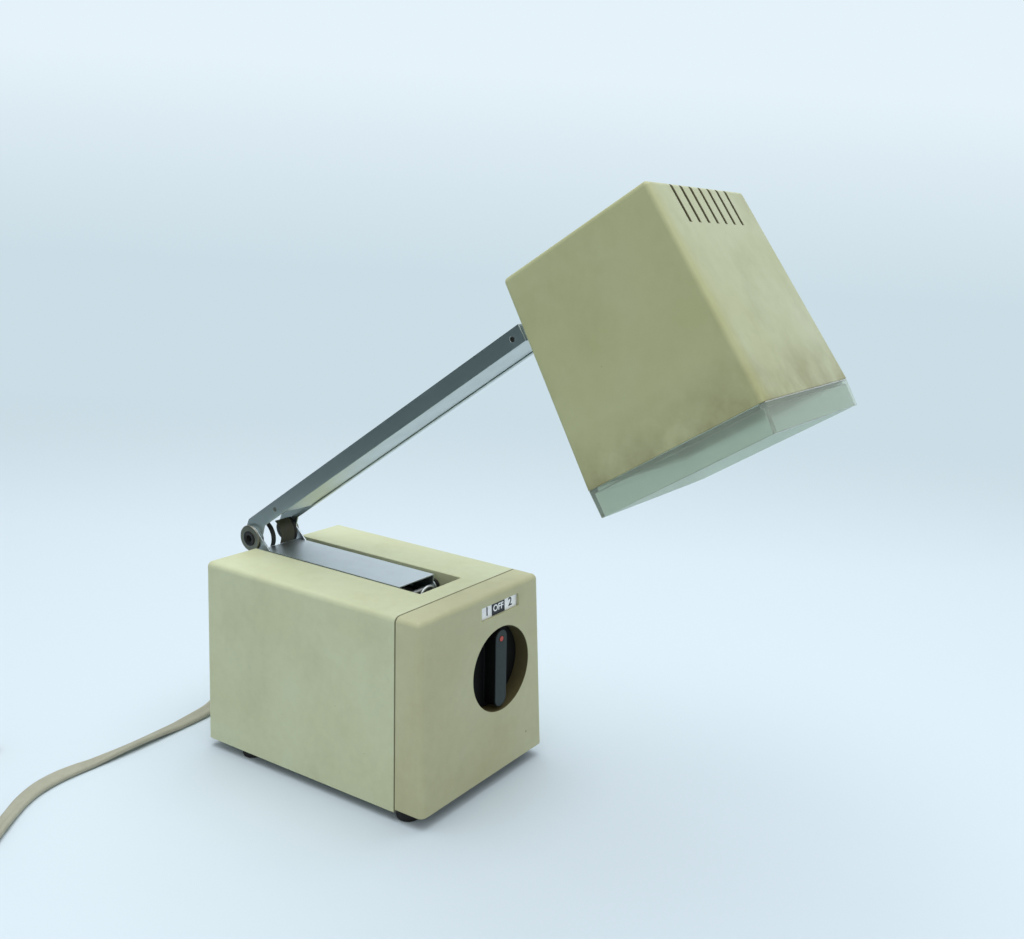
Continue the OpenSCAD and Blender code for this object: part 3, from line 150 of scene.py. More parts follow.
class Finish:
    """A Principled material whose pattern sockets are filled with sums."""

    def __init__(self, name, **sockets):
        self.material = bpy.data.materials.new(name)
        self.material.use_nodes = True
        self.tree = self.material.node_tree
        self.shader = self.tree.nodes["Principled BSDF"]
        self.set(**sockets)

    def set(self, **sockets):
        """Fills the shader's sockets, whose names are written here with _ for a space."""
        for key, value in sockets.items():
            socket = self.shader.inputs[key.replace("_", " ")]
            if isinstance(value, Value):
                self.tree.links.new(value.socket, socket)
            else:
                socket.default_value = (*value, 1) if isinstance(value, tuple) else value

    def node(self, kind, settings=None, inputs=(), output=0):
        """Any node: its settings come first, then the values or links of its sockets."""
        made = self.tree.nodes.new(kind)
        for key, value in (settings or {}).items():
            if key == "stops":
                for element, (place, shade) in zip(made.color_ramp.elements, value):
                    element.position = place
                    element.color = (shade, shade, shade, 1)
            else:
                setattr(made, key, value)
        pairs = inputs.items() if isinstance(inputs, dict) else enumerate(inputs)
        for key, value in pairs:
            if isinstance(value, Value):
                self.tree.links.new(value.socket, made.inputs[key])
            else:
                made.inputs[key].default_value = value
        return Value(self, made.outputs[output])

    def vector(self, operation, *values, output=0):
        """A Vector Math node."""
        return self.node("ShaderNodeVectorMath", {"operation": operation}, values, output)

    def place(self, stretch=(1, 1, 1), turn=0.0, centre=(0, 0, 0)):
        """The point on the object, with a pattern's centre, turn about Y and stretch taken out."""
        point = self.node("ShaderNodeTexCoord", output="Object")
        if any(centre):
            point = self.vector("ADD", point, tuple(-c for c in centre))
        if turn:
            turned_by = {"Vector": point, "Angle": turn}
            point = self.node("ShaderNodeVectorRotate", {"rotation_type": "Y_AXIS"}, turned_by)
        return self.vector("MULTIPLY", point, tuple(stretch))

    def noise(self, spacing, detail=2.0, rough=0.5, stretch=(1, 1, 1), turn=0.0):
        """Soft noise from 0 to 1, whose blots are about one spacing apart."""
        sockets = {
            "Vector": self.place(stretch, turn), "Scale": 1 / spacing, "Detail": detail,
            "Roughness": rough,
        }
        return self.node("ShaderNodeTexNoise", {"noise_dimensions": "3D"}, sockets, output="Fac")

    def step(self, value, low, high):
        """0 under low and 1 over high, with a straight rise between them."""
        return self.node("ShaderNodeValToRGB", {"stops": ((low, 0), (high, 1))}, (value,))

    def specks(self, spacing, share, size):
        """Small round specks, in a share of the cells of a grid that is one spacing wide."""
        cell = {"Vector": self.place(), "Scale": 1 / spacing}
        far = self.node("ShaderNodeTexVoronoi", {"feature": "F1"}, cell, output="Distance")
        tint = self.node("ShaderNodeTexVoronoi", {"feature": "F1"}, cell, output="Color")
        pick = self.node("ShaderNodeSeparateColor", {}, (tint,))
        return (far < size / spacing) * (pick < share)

    def mix(self, factor, under, over):
        """One colour over another."""
        under, over = ((*c, 1) if isinstance(c, tuple) else c for c in (under, over))
        sockets = {mix_factor: factor, mix_under: under, mix_over: over}
        return self.node("ShaderNodeMix", {"data_type": "RGBA"}, sockets, mix_result)

    def relief(self, height, depth):
        """Turns a height from 0 to 1 into a bump that is depth metres deep."""
        sockets = {"Strength": 1.0, "Distance": depth, "Height": height}
        self.set(Normal=self.node("ShaderNodeBump", {}, sockets))


def srgb(red, green, blue):
    """A colour as a picture writes it, 0 to 255, turned into the light that it stands for."""
    shares = [c / 255 for c in (red, green, blue)]
    return tuple(s / 12.92 if s <= 0.04045 else ((s + 0.055) / 1.055) ** 2.4 for s in shares)


finishes = {}

# %% [markdown]
# ## Aged moulded plastic
# The base and the head are cream plastic that has yellowed with age. Real old plastic isn't one
# colour: it has broad cloudy tones, a few grey rubbed patches where hands hold it, small dark
# specks, and a very fine moulded grain. Each of these is one texture at its own size.

# %% Cream plastic
cream = srgb(199, 204, 170)
warm_cream = srgb(194, 197, 159)
cover_cream = srgb(188, 188, 152)
cover_warm = srgb(182, 179, 140)
shade_cream = srgb(184, 189, 158)
shade_olive = srgb(176, 179, 142)
# Painted shade: the lamp shade's near side is darker and yellower.
side_shade_olive = srgb(165, 163, 98)
dull_brown = srgb(112, 102, 62)
# Dark for real dirt, specks and seams, and for painted shade in the knob's recess and the vents.
dark_grime_and_shade = srgb(74, 64, 32)
cloud_blot = 42 * mm
mottle_blot = 5 * mm
mottle_share = 0.07
stain_blot = 26 * mm
stain_stretch = (1, 1, 0.6)
speck_cell = 9 * mm
specked_cells = 0.16
speck_r = 0.2 * mm
speck_share = 0.6
gloss_blot = 9 * mm
grain_blot = 0.55 * mm
ripple_blot = 7 * mm
grain_deep = 0.006 * mm


def moulded(name, base, cloud, stain_share, own_marks):
    """Aged plastic: a cloudy tone, rubbed stains, specks, its own dirt and painted shade, fine
    grain.
    """
    finish = Finish(name, IOR=1.5, Specular_IOR_Level=0.42)
    cloudy = finish.step(finish.noise(cloud_blot, 3, 0.55), 0.32, 0.7)
    tone = finish.mix(cloudy, base, cloud)
    mottled = finish.step(finish.noise(mottle_blot, 4, 0.6), 0.35, 0.75) * mottle_share
    tone = finish.mix(mottled, tone, dull_brown)
    rubbed = finish.noise(stain_blot, 4, 0.6, stretch=stain_stretch)
    tone = finish.mix(finish.step(rubbed, 0.5, 0.76) * stain_share, tone, dull_brown)
    specks = finish.specks(speck_cell, specked_cells, speck_r) * speck_share
    tone = finish.mix(specks, tone, dark_grime_and_shade)
    finish.set(Base_Color=own_marks(finish, tone), Roughness=0.42 + 0.16 * finish.noise(gloss_blot, 3))
    grain = finish.noise(grain_blot, 2) * 0.6 + finish.noise(ripple_blot, 1) * 0.4
    finish.relief(grain, grain_deep)
    finishes[name] = finish.material


# %% [markdown]
# Dirt gathers where a cloth doesn't reach. On the base that is the joint between the housing and
# the cover. The wall of the knob's recess, which is a ring of known radius, is painted dark as the
# shade that falls in it. Each is a distance from a known place, compared with a width. One dark
# speck low on the cover is made in the same way.

# %% Dirt and painted shade on the base
seam_at = 55 * mm
seam_dirt = 0.4 * mm
seam_share = 0.6
recess_place = (0, 13 * mm, 59.6 * mm)
recess_r = 21.4 * mm
# Painted shade: the wall of the knob's recess is darkened as the shade that falls in it.
recess_shade_share = 0.94
mark_place = (0, 32 * mm, 18.5 * mm)
mark_r = 0.6 * mm
mark_share = 0.5
# The recess ring is painted shade; the small mark is a real dark speck.
rings_of_dirt_and_shade = ((recess_place, recess_r, recess_shade_share), (mark_place, mark_r, mark_share))


def dirty_seam(finish, tone):
    """Dirt drawn into the joint between the housing and the cover."""
    off = (finish.place().part("X") - seam_at).size()
    return finish.mix((off < seam_dirt) * seam_share, tone, dark_grime_and_shade)


def cover_dirt_and_shade(finish, tone):
    """Seam dirt, painted shade in the knob's recess and one speck, found by distance across the
    front.
    """
    tone = dirty_seam(finish, tone)
    for centre, reach, share in rings_of_dirt_and_shade:
        spot = finish.place((0, 1, 1), centre=centre)
        across = finish.vector("LENGTH", spot, output="Value")
        tone = finish.mix((across < reach) * share, tone, dark_grime_and_shade)
    return tone


moulded("housing_plastic", cream, warm_cream, 0.10, dirty_seam)
moulded("cover_plastic", cover_cream, cover_warm, 0.14, cover_dirt_and_shade)

# %% [markdown]
# On the shade the last few millimetres above the mouth are darker in patches, and the ends of the
# vents are painted dark as the shade inside them. These patterns are laid in the head's own frame,
# which is turned and has its origin on the pivot. The near side is also painted darker and
# yellower, as painted shade on that side.

# %% Painted shade and a darker mouth on the shade
head_place = (111.277 * mm, 0, 228.395 * mm)
head_turn = math.radians(32.2)
shaded_side_from = 33 * mm
shaded_side_band = 5 * mm
shaded_side_share = 0.4
mouth_up = -68.1 * mm
# A patchy band above the mouth is made darker.
mouth_band = 22 * mm
mouth_blot = 17 * mm
mouth_dark_share = 0.75
vent_pitch = 7.2 * mm
vent_count = 7
vent_low = 1.7 * mm
vent_rear = 70.4 * mm
# The vents' ends are painted dark as the shade inside them.
vent_shade_half = 1.0 * mm
vent_shade_share = 0.85


def in_head(finish, letter):
    """One coordinate of the point, in the head's own frame."""
    return finish.place(turn=head_turn, centre=head_place).part(letter)


def in_vents(finish, up):
    """1 in the vents: seven equal steps across, over a height and in front of a depth."""
    across = finish.place().part("Y")
    row = across * (1 / vent_pitch) + vent_count / 2
    off_centre = (row.maths("FRACT", row) - 0.5).size()
    within = across.size() < vent_pitch * vent_count / 2
    ahead = in_head(finish, "X") > vent_rear
    return (off_centre < vent_shade_half / vent_pitch) * within * (up > vent_low) * ahead


def darkened_shade(finish, tone):
    """Painted shade on the near side and in the vents, and a patchy darker band above the mouth."""
    near = -1 * finish.place().part("Y")
    # Painted shade on the near side.
    side_shade = finish.step((near - shaded_side_from) * (1 / shaded_side_band), 0, 1)
    tone = finish.mix(side_shade * shaded_side_share, tone, side_shade_olive)
    up = in_head(finish, "Z")
    # Darker in patches towards the mouth.
    low = 1 - finish.step((up - mouth_up) * (1 / mouth_band), 0, 1)
    patchy = finish.step(finish.noise(mouth_blot, 4, 0.6), 0.3, 0.75)
    tone = finish.mix(low.limited() * patchy * mouth_dark_share, tone, dull_brown)
    # Painted shade in the vents.
    return finish.mix(in_vents(finish, up) * vent_shade_share, tone, dark_grime_and_shade)


moulded("shade_plastic", shade_cream, shade_olive, 0.26, darkened_shade)

# %% [markdown]
# ## Brushed sheet metal
# The arms are bright sheet that was brushed along its length. The brushing is a noise that is
# stretched until its blots are long scratches. The upper arm stands at a slope, so its pattern is
# turned by the same angle, or the scratches would cross the sheet.

# %% Metals
arm_slope = math.radians(34.2)
scratch_blot = 0.5 * mm
scratch_deep = 0.001 * mm
tarnish_blot = 14 * mm
tarnish_share = 0.4
tarnish_dark = 0.8
lengthways = (0.02, 1, 1)
all_ways = (1, 1, 1)


def brushed(name, colour, rough, turn=0.0, scratch=0.1, metallic=1.0, along=lengthways):
    """Sheet metal: fine scratches along it, and cloudy tarnish that is darker and duller."""
    finish = Finish(name, Metallic=metallic)
    lines = finish.noise(scratch_blot, 3, 0.6, stretch=along, turn=turn)
    tarnish = finish.step(finish.noise(tarnish_blot, 4, 0.6), 0.35, 0.8)
    dark = tuple(tarnish_dark * c for c in colour)
    finish.set(Base_Color=finish.mix(tarnish * tarnish_share, colour, dark))
    finish.set(Roughness=rough + scratch * lines + 0.06 * tarnish)
    finish.relief(lines, scratch_deep)
    finishes[name] = finish.material


def plated(name, colour, rough, metallic=1.0):
    """Small turned or stamped metal: fine even brushing and a little tarnish."""
    brushed(name, colour, rough, scratch=0.08, metallic=metallic, along=all_ways)


brushed("arm_metal", srgb(208, 217, 221), 0.36)
brushed("upper_arm_metal", srgb(186, 196, 194), 0.3, turn=arm_slope)
plated("rivet_metal", srgb(140, 140, 128), 0.34)
plated("screw_steel", srgb(188, 190, 190), 0.34)
plated("brass", srgb(196, 168, 104), 0.34)
plated("core_steel", srgb(104, 100, 96), 0.55)
plated("plate_steel", srgb(112, 112, 108), 0.5, metallic=0.4)
plated("black_steel", srgb(38, 37, 35), 0.42, metallic=0.25)

# %% [markdown]
# ## Dark plastics, rubber, fittings and print
# The small pieces share one recipe: a colour that varies a little, a roughness that varies with
# it, and a shallow relief. Only the numbers tell soft rubber from a polished knob.

# %% Small plain finishes
shadow_tone = 0.45


def plain(name, colour, rough, spread=0.25, blot=3 * mm, depth=0.01 * mm, **sockets):
    """An even finish: blots of a darker and duller tone, and a relief of finer ones."""
    finish = Finish(name, **sockets)
    cloud = finish.noise(blot, 4, 0.6)
    dark = tuple(shadow_tone * c for c in colour)
    finish.set(Base_Color=finish.mix(cloud * spread, colour, dark), Roughness=rough + 0.15 * cloud)
    finish.relief(finish.noise(blot / 6, 2), depth)
    finishes[name] = finish.material


plain("winding", srgb(176, 120, 66), 0.6)
plain("cream_fittings", srgb(214, 206, 182), 0.5)
plain("dark_plastic", srgb(18, 18, 18), 0.45)
# Knob: near-black deepened as painted shade; its face: paler from wear and a painted sheen.
plain("grip_plastic", srgb(8, 9, 9), 0.5, Specular_IOR_Level=0.2)
plain("grip_face_worn_and_lit", srgb(34, 48, 48), 0.42, Specular_IOR_Level=0.3)
plain("red_paint", srgb(190, 62, 44), 0.4, spread=0.4, blot=0.8 * mm)
plain("label_white", srgb(252, 253, 253), 0.3, spread=0.04)
plain("label_black", srgb(30, 38, 46), 0.35)
plain("rubber", srgb(26, 24, 23), 0.75, depth=0.03 * mm)
plain("strip_brown", srgb(72, 72, 54), 0.5)
plain("cord_plastic", srgb(170, 168, 148), 0.5, spread=0.45, blot=7 * mm, depth=0.02 * mm)

# %% [markdown]
# ## Clear plastic and glass
# The skirt is clear acrylic with a faint green tint, a little scuffed, so it spreads what is seen
# through it. The bulb is thin clear glass.

# %% Clear finishes
scuff_blot = 6 * mm
wavy_blot = 3 * mm
wavy_deep = 0.004 * mm


def clear(name, colour, rough, index, through):
    """A see-through finish with scuffed patches and a slightly wavy surface."""
    finish = Finish(name, Base_Color=colour, Transmission_Weight=through, IOR=index)
    scuffed = finish.step(finish.noise(scuff_blot, 4, 0.6), 0.45, 0.8)
    finish.set(Roughness=rough + 0.1 * scuffed)
    finish.relief(finish.noise(wavy_blot, 2), wavy_deep)
    finishes[name] = finish.material


clear("clear_plastic", srgb(216, 226, 212), 0.13, 1.3, 0.82)
clear("bulb_glass", srgb(252, 253, 252), 0.02, 1.45, 1.0)
print(f"{len(finishes)} finishes")

# %% [markdown]
# ## Every CAD node gets its finish
# The record says which material slot each node takes. The pieces that lie along the upper arm take
# a pattern that is turned with it, and the arm's rivet-like dimples take the rivets' darker finish,
# as painted shade in the dimples.

# %% Finishes on the CAD nodes
record = frame["record"]
slot_of = {row["node"]: row["material_slot"] for row in record["subparts"]}
body_of = {
    node: body for body, members in record["behaviour"]["bodies"].items() for node in members
}
finish_names = {
    "outer_channel": "upper_arm_metal",
    "inner_channel": "upper_arm_metal",
    # Painted shade: the dimples take the rivets' darker finish.
    "arm_dimples": "rivet_metal",
}


def finish_of(node):
    """The finish for a node: its own where it has one, or else its slot's."""
    return finishes[finish_names.get(node, slot_of[node])]


for name, node in nodes.items():
    node.data.materials.clear()
    node.data.materials.append(finish_of(name))
print(f"{len(slot_of)} nodes have a finish")

# %% [markdown]
# ## Round edges on moulded and pressed pieces
# A moulded shell or a folded sheet never has a knife edge: a narrow round catches the light and
# draws a thin bright line. The CAD pieces have their true shape but sharp small edges. Each one
# that shows is copied, its loose triangles are merged and flat ones joined, and a bevel rounds its
# sharp edges. The copy rides on the same body and stands for its node.

# %% Helpers that act on one piece
face_angle = 35
round_angle = 60


def only(piece):
    """Makes one object the selected and active one."""
    bpy.ops.object.select_all(action="DESELECT")
    piece.select_set(True)
    bpy.context.view_layer.objects.active = piece


def modify(piece, kind, **settings):
    """Adds a modifier and applies it."""
    only(piece)
    modifier = piece.modifiers.new(kind.lower(), kind)
    for key, value in settings.items():
        setattr(modifier, key, value)
    bpy.ops.object.modifier_apply(modifier=modifier.name)


def smooth(piece, angle=face_angle):
    """Smooth shading under an angle, with flat faces kept flat up to their rounded edges."""
    only(piece)
    bpy.ops.object.shade_smooth_by_angle(angle=math.radians(angle))
    modify(piece, "WEIGHTED_NORMAL", keep_sharp=True)


def new_piece(name, mesh):
    """An object made from a bmesh, which is used up."""
    data = bpy.data.meshes.new(name)
    mesh.to_mesh(data)
    mesh.free()
    piece = bpy.data.objects.new(name, data)
    bpy.context.scene.collection.objects.link(piece)
    return piece


def painted(piece, finish, body):
    """A new piece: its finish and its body."""
    piece.data.materials.clear()
    piece.data.materials.append(finishes[finish])
    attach(piece, body)


def seated(piece, node):
    """The piece stands for a node: it takes its body and its finish."""
    piece.data.materials.clear()
    piece.data.materials.append(finish_of(node))
    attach(piece, body_of[node])
    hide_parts(node)


# %% [markdown]
# A bevel needs whole faces, not triangles, or it rounds edges that lie inside a flat wall. So
# neighbours in one plane are joined, one edge at a time. A flat rim round a hole can't be one
# face: a piece is first cut by a plane through its largest hole, and nothing is joined across it.

# %% Join flat triangles into faces
merge_within = 0.002 * mm
cut_within = 0.001 * mm
flat_angle = math.radians(0.6)
x_axis, y_axis = 0, 1
middle_cut = (y_axis, 0.0)
cuts = {
    "front_cover": (y_axis, 13 * mm),
    "switch_knob": (y_axis, 13 * mm),
    "cord_bushing": (y_axis, 32 * mm),
    "outer_channel": (x_axis, -72.5 * mm),
}


def can_join(edge, axis, at):
    """Whether an edge lies between two flat neighbours that make one face without a hole."""
    if not edge.is_valid or len(edge.link_faces) != 2:
        return False
    if all(abs(vert.co[axis] - at) < merge_within for vert in edge.verts):
        return False
    one, two = edge.link_faces
    shared_edges = set(one.edges) & set(two.edges)
    shared_corners = set(one.verts) & set(two.verts)
    is_flat = one.normal.angle(two.normal, math.pi) < flat_angle
    return is_flat and len(shared_corners) == len(shared_edges) + 1


def join_flats(mesh, axis, at):
    """Joins flat neighbours into larger faces, but never across the cut, and never into a ring."""
    across = Vector([float(i == axis) for i in range(3)])
    bmesh.ops.bisect_plane(
        mesh, geom=mesh.verts[:] + mesh.edges[:] + mesh.faces[:], dist=cut_within,
        plane_co=across * at, plane_no=across,
    )
    for edge in list(mesh.edges):
        if can_join(edge, axis, at):
            bmesh.utils.face_join(tuple(edge.link_faces)).normal_update()
    straight = [
        vert for vert in mesh.verts
        if len(vert.link_edges) == 2 and vert.calc_edge_angle(math.pi) < flat_angle
    ]
    bmesh.ops.dissolve_verts(mesh, verts=straight)


def merged_copy(node, name):
    """A node's mesh as one closed surface, with flat triangles joined into whole faces."""
    piece = bpy.data.objects.new(name, nodes[node].data.copy())
    bpy.context.scene.collection.objects.link(piece)
    only(piece)
    bpy.ops.object.mode_set(mode="EDIT")
    bpy.ops.mesh.select_all(action="SELECT")
    bpy.ops.mesh.remove_doubles(threshold=merge_within)
    bpy.ops.object.mode_set(mode="OBJECT")
    mesh = bmesh.new()
    mesh.from_mesh(piece.data)
    join_flats(mesh, *cuts.get(node, middle_cut))
    mesh.to_mesh(piece.data)
    mesh.free()
    return piece


# %% Pieces that are rounded: their names and edge radii in millimetres
sharp_angle = math.radians(32)
edge_steps = 2
rounded_edges = {
    "main_housing": ("housing_shell", 0.35),
    "front_cover": ("cover_shell", 0.35),
    "shade_shell": ("shade_body", 0.3),
    "clear_skirt": ("skirt_body", 0.25),
    "switch_knob": ("knob_grip", 0.5),
    "lower_channel": ("lower_arm_sheet", 0.2),
    "outer_channel": ("outer_arm_sheet", 0.2),
    "inner_channel": ("inner_arm_sheet", 0.2),
    "rubber_feet": ("foot_rubbers", 0.6),
    "slot_trough": ("trough_sheet", 0.2),
    "label_plate": ("label_card", 0.1),
    "elbow_rivets": ("elbow_rivet_heads", 0.3),
    "elbow_washers": ("elbow_rings", 0.1),
    "slide_block": ("slide_shoe", 0.25),
    "head_bracket": ("hinge_plate", 0.2),
    "bracket_rivets": ("hinge_rivets", 0.15),
    "socket_bridge": ("socket_strap", 0.15),
    "lamp_socket": ("socket_tube", 0.15),
    "bulb_cap": ("bulb_collar", 0.15),
    "cord_bushing": ("cord_grommet", 0.25),
    "coil_tie": ("tie_band", 0.2),
    "plug_body": ("plug_shell", 0.3),
    "plug_pins": ("plug_prongs", 0.4),
}
for node, (name, edge) in rounded_edges.items():
    piece = merged_copy(node, name)
    modify(
        piece, "BEVEL", width=edge * mm, segments=edge_steps, limit_method="ANGLE",
        angle_limit=sharp_angle, use_clamp_overlap=False, miter_outer="MITER_ARC",
    )
    smooth(piece)
    seated(piece, node)
    print(f"{name}: {len(piece.data.polygons)} faces")

# %% [markdown]
# The bar of the knob has a front face that fingers have rubbed to a paler grey, which is also a
# painted sheen of the light that meets it outside the recess. It is the same piece, so its faces
# that look forwards take a second material.

# %% The knob's rubbed face, with a painted sheen
worn_and_lit_deep = 0.25 * mm
grip = bpy.data.objects["knob_grip"]
grip.data.materials.append(finishes["grip_face_worn_and_lit"])
grip_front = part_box("switch_knob")[1].x - worn_and_lit_deep
for face in grip.data.polygons:
    # Faces that look forwards take the worn grey with its painted sheen.
    if face.center.x > grip_front:
        face.material_index = 1

# %% [markdown]
# ## The elbow
# Thin strips are bent round the elbow in front of the hollow rivets. They stand on the lower arm
# and run up into the open underside of the upper one, so that nothing shows between the arms. Each
# is one flat section carried round the elbow's axis, which is a skin over a row of rings.

# %% A skin over rings of points
def skin(name, rings, closed=False):
    """A mesh stretched over rings of points, capped at both ends or closed into a loop."""
    mesh = bmesh.new()
    made = [[mesh.verts.new(p) for p in ring] for ring in rings]
    following = made[1:] + made[:1] if closed else made[1:]
    for a, b in zip(made, following):
        for k in range(len(a)):
            after = (k + 1) % len(a)
            mesh.faces.new((a[k], a[after], b[after], b[k]))
    if not closed:
        mesh.faces.new(list(reversed(made[0])))
        mesh.faces.new(made[-1])
    bmesh.ops.recalc_face_normals(mesh, faces=mesh.faces)
    return new_piece(name, mesh)


# %% Strips round the elbow
elbow = Vector((-72.5, 0, 103.5)) * mm
strip_out = 8.8 * mm
strip_from = -29.4
strip_to = 60
strip_steps = 24
strip_edge = 0.08 * mm
strip_sharp = math.radians(50)
# For each node: the piece's name, its two sides along Y and its thickness, in millimetres.
strips = {
    "narrow_strip": ("narrow_leaf", -6.5, -3.9, 0.5),
    "guard_strip": ("guard_leaf", -0.2, 8.4, 0.5),
    "strip_sleeve": ("sleeve_leaf", 8.6, 10.1, 1.0),
}


def strip_ring(angle, low, high, thick):
    """The four corners of a strip's section at an angle above level."""
    ahead = Vector((math.cos(math.radians(angle)), 0, math.sin(math.radians(angle))))
    strip_in = strip_out - thick * mm
    corners = ((strip_in, low), (strip_out, low), (strip_out, high), (strip_in, high))
    return [elbow + ahead * radius + Vector((0, y * mm, 0)) for radius, y in corners]


for node, (name, low, high, thick) in strips.items():
    turns = [
        strip_from + (strip_to - strip_from) * i / strip_steps for i in range(strip_steps + 1)
    ]
    leaf = skin(name, [strip_ring(angle, low, high, thick) for angle in turns])
    modify(
        leaf, "BEVEL", width=strip_edge, segments=edge_steps, limit_method="ANGLE",
        angle_limit=strip_sharp,
    )
    smooth(leaf)
    seated(leaf, node)
    print(f"{name}: {len(leaf.data.polygons)} faces")

# %% [markdown]
# A black bush lines each hollow rivet, and a dark steel plug fills the small hole near the upper
# arm's other end, as painted shade in the hole. Both are turned pieces: a profile of radii and
# heights is carried round an axis.

# %% Bushes in the hollow rivets, and dark plugs as painted shade in the arm's holes
# Each profile gives radii, and heights over the face that the piece sits in, in millimetres.
bush_profile = (
    (3.9, 0.0), (3.9, 0.25), (3.7, 0.45), (3.1, 0.5), (2.3, 0.35), (1.9, 0.05), (1.85, -2.6),
    (2.42, -2.6), (2.42, 0.0),
)
shade_plug_profile = ((1.17, -0.7), (1.17, -0.15), (1.0, 0.0), (0.4, 0.0), (0.4, -0.7))
bush_points = 48
shade_plug_points = 24
turned_angle = 50
shade_plug_on_arm = Vector((202, 0, 5.35)) * mm
shade_plug_sunk = 0.15 * mm
shade_plug_place = elbow + Matrix.Rotation(-arm_slope, 3, "Y") @ shade_plug_on_arm
rivet_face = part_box("elbow_rivets")[1].y
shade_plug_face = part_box("outer_channel")[1].y - shade_plug_sunk


def turned(name, profile, middle, side, face, points):
    """A profile turned round an axis along Y, on the face that lies on one side of a middle."""
    place = middle + Vector((0, side * face, 0))
    rings = []
    for k in range(points):
        angle = 2 * math.pi * k / points
        around = Vector((math.cos(angle), 0, math.sin(angle)))
        rings.append(
            [place + (around * r + Vector((0, side * out, 0))) * mm for r, out in profile]
        )
    piece = skin(name, rings, closed=True)
    smooth(piece, turned_angle)
    return piece


for side, which in ((-1, "near"), (1, "far")):
    bush = turned(f"elbow_bush_{which}", bush_profile, elbow, side, rivet_face, bush_points)
    painted(bush, "dark_plastic", "lower_arm")
    # A dark plug where the hole shows only shade: painted shade.
    shade_plug = turned(f"hole_shade_plug_{which}", shade_plug_profile, shade_plug_place, side, shade_plug_face, shade_plug_points)
    painted(shade_plug, "black_steel", "outer_arm")
    print(f"{bush.name} and {shade_plug.name}: {len(bush.data.polygons) + len(shade_plug.data.polygons)} faces")

# %% [markdown]
# ## Cross recesses
# A driver fits into a cross pressed into each screw's head. Every screw of a node is found as one
# connected piece of its mesh, and two crossed bars, sized as shares of its head, are cut from it.

# %% Cut a cross into each screw
cross_share = 0.62
bar_share = 0.15
cross_deep = 0.6 * mm
upright = Matrix.Identity(4)
head_frame = Matrix.Translation(head_place) @ Matrix.Rotation(-head_turn, 4, "Y")
screw_nodes = (
    ("bottom_screws", "bottom_screw_heads", upright),
    ("foot_screws", "foot_screw_heads", upright),
    ("bridge_screws", "bridge_screw_heads", head_frame),
)


def separate_pieces(mesh):
    """The corners of each connected piece of a mesh."""
    left = set(mesh.verts)
    for start in mesh.verts:
        if start not in left:
            continue
        left.discard(start)
        group = [start]
        for vert in group:
            for edge in vert.link_edges:
                other = edge.other_vert(vert)
                if other in left:
                    left.discard(other)
                    group.append(other)
        yield group


def cross_bars(screws, own_frame):
    """Two crossed bars in the low end of each screw, in the screws' own frame."""
    mesh, bars = bmesh.new(), bmesh.new()
    mesh.from_mesh(screws.data)
    to_own = own_frame.inverted()
    for group in separate_pieces(mesh):
        points = [to_own @ vert.co for vert in group]
        low, high = (
            Vector([pick(p[i] for p in points) for i in range(3)]) for pick in (min, max)
        )
        middle = Vector(((low.x + high.x) / 2, (low.y + high.y) / 2, low.z))
        wide = high.x - low.x
        for length, width in ((cross_share, bar_share), (bar_share, cross_share)):
            bar = Matrix.Diagonal((length * wide, width * wide, 2 * cross_deep, 1))
            place = own_frame @ Matrix.Translation(middle) @ bar
            bmesh.ops.create_cube(bars, size=1, matrix=place)
    mesh.free()
    return new_piece("bars", bars)


for node, name, own_frame in screw_nodes:
    screws = merged_copy(node, name)
    bars = cross_bars(screws, own_frame)
    modify(
        screws, "BOOLEAN", operation="DIFFERENCE", object=bars, solver="EXACT", use_self=True
    )
    bpy.data.objects.remove(bars)
    smooth(screws)
    seated(screws, node)
    print(f"{name}: {len(screws.data.polygons)} faces")

# %% [markdown]
# ## The bulb
# The CAD bulb is a solid drop. Real bulb glass is a thin skin, so the copy is hollowed to half a
# millimetre, and the filament hangs inside it on two wires. Both are made in the head's frame.

# %% Bulb glass
glass_t = 0.5 * mm
globe = merged_copy("bulb_globe", "bulb_glass_skin")
modify(globe, "SOLIDIFY", thickness=glass_t, offset=-1)
smooth(globe, round_angle)
seated(globe, "bulb_globe")

# %% Filament and its two wires
bulb_x = 43.7 * mm
# The wires' places to the side and above the pivot, in millimetres.
post_line = ((1.6, -13.4), (1.6, -20), (2.4, -24), (4.2, -29), (4.2, -32.3))
post_r = 0.25 * mm
filament_z = -32 * mm
filament_half = 4.2 * mm
filament_rise = 1.2 * mm
filament_r = 0.13 * mm
spiral_r = 0.55 * mm
spiral_turns = 16
spiral_steps = spiral_turns * 12


def wire(name, line, radius, points=8):
    """A round wire along points of the head's frame."""
    rings = []
    for i, middle in enumerate(line):
        ahead = (line[min(i + 1, len(line) - 1)] - line[max(i - 1, 0)]).normalized()
        side = side - ahead * side.dot(ahead) if rings else ahead.orthogonal()
        side = side.normalized()
        up = ahead.cross(side)
        rings.append([
            head_frame @ (middle + (side * math.cos(t) + up * math.sin(t)) * radius)
            for t in (2 * math.pi * k / points for k in range(points))
        ])
    piece = skin(name, rings)
    smooth(piece, round_angle)
    painted(piece, "screw_steel", "head")


def spiral_point(share):
    """A point of the filament, from 0 at the near wire to 1 at the far one."""
    angle = 2 * math.pi * share * spiral_turns
    return Vector((
        bulb_x + spiral_r * math.cos(angle),
        filament_half * (2 * share - 1),
        filament_z + spiral_r * math.sin(angle) + filament_rise * math.sin(math.pi * share),
    ))


for side, which in ((-1, "near"), (1, "far")):
    post = [Vector((bulb_x, side * y * mm, z * mm)) for y, z in post_line]
    wire(f"filament_post_{which}", post, post_r)
spiral = [spiral_point(i / spiral_steps) for i in range(spiral_steps + 1)]
wire("filament", spiral, filament_r, 6)
print(f"{len(spiral)} rings on the filament")

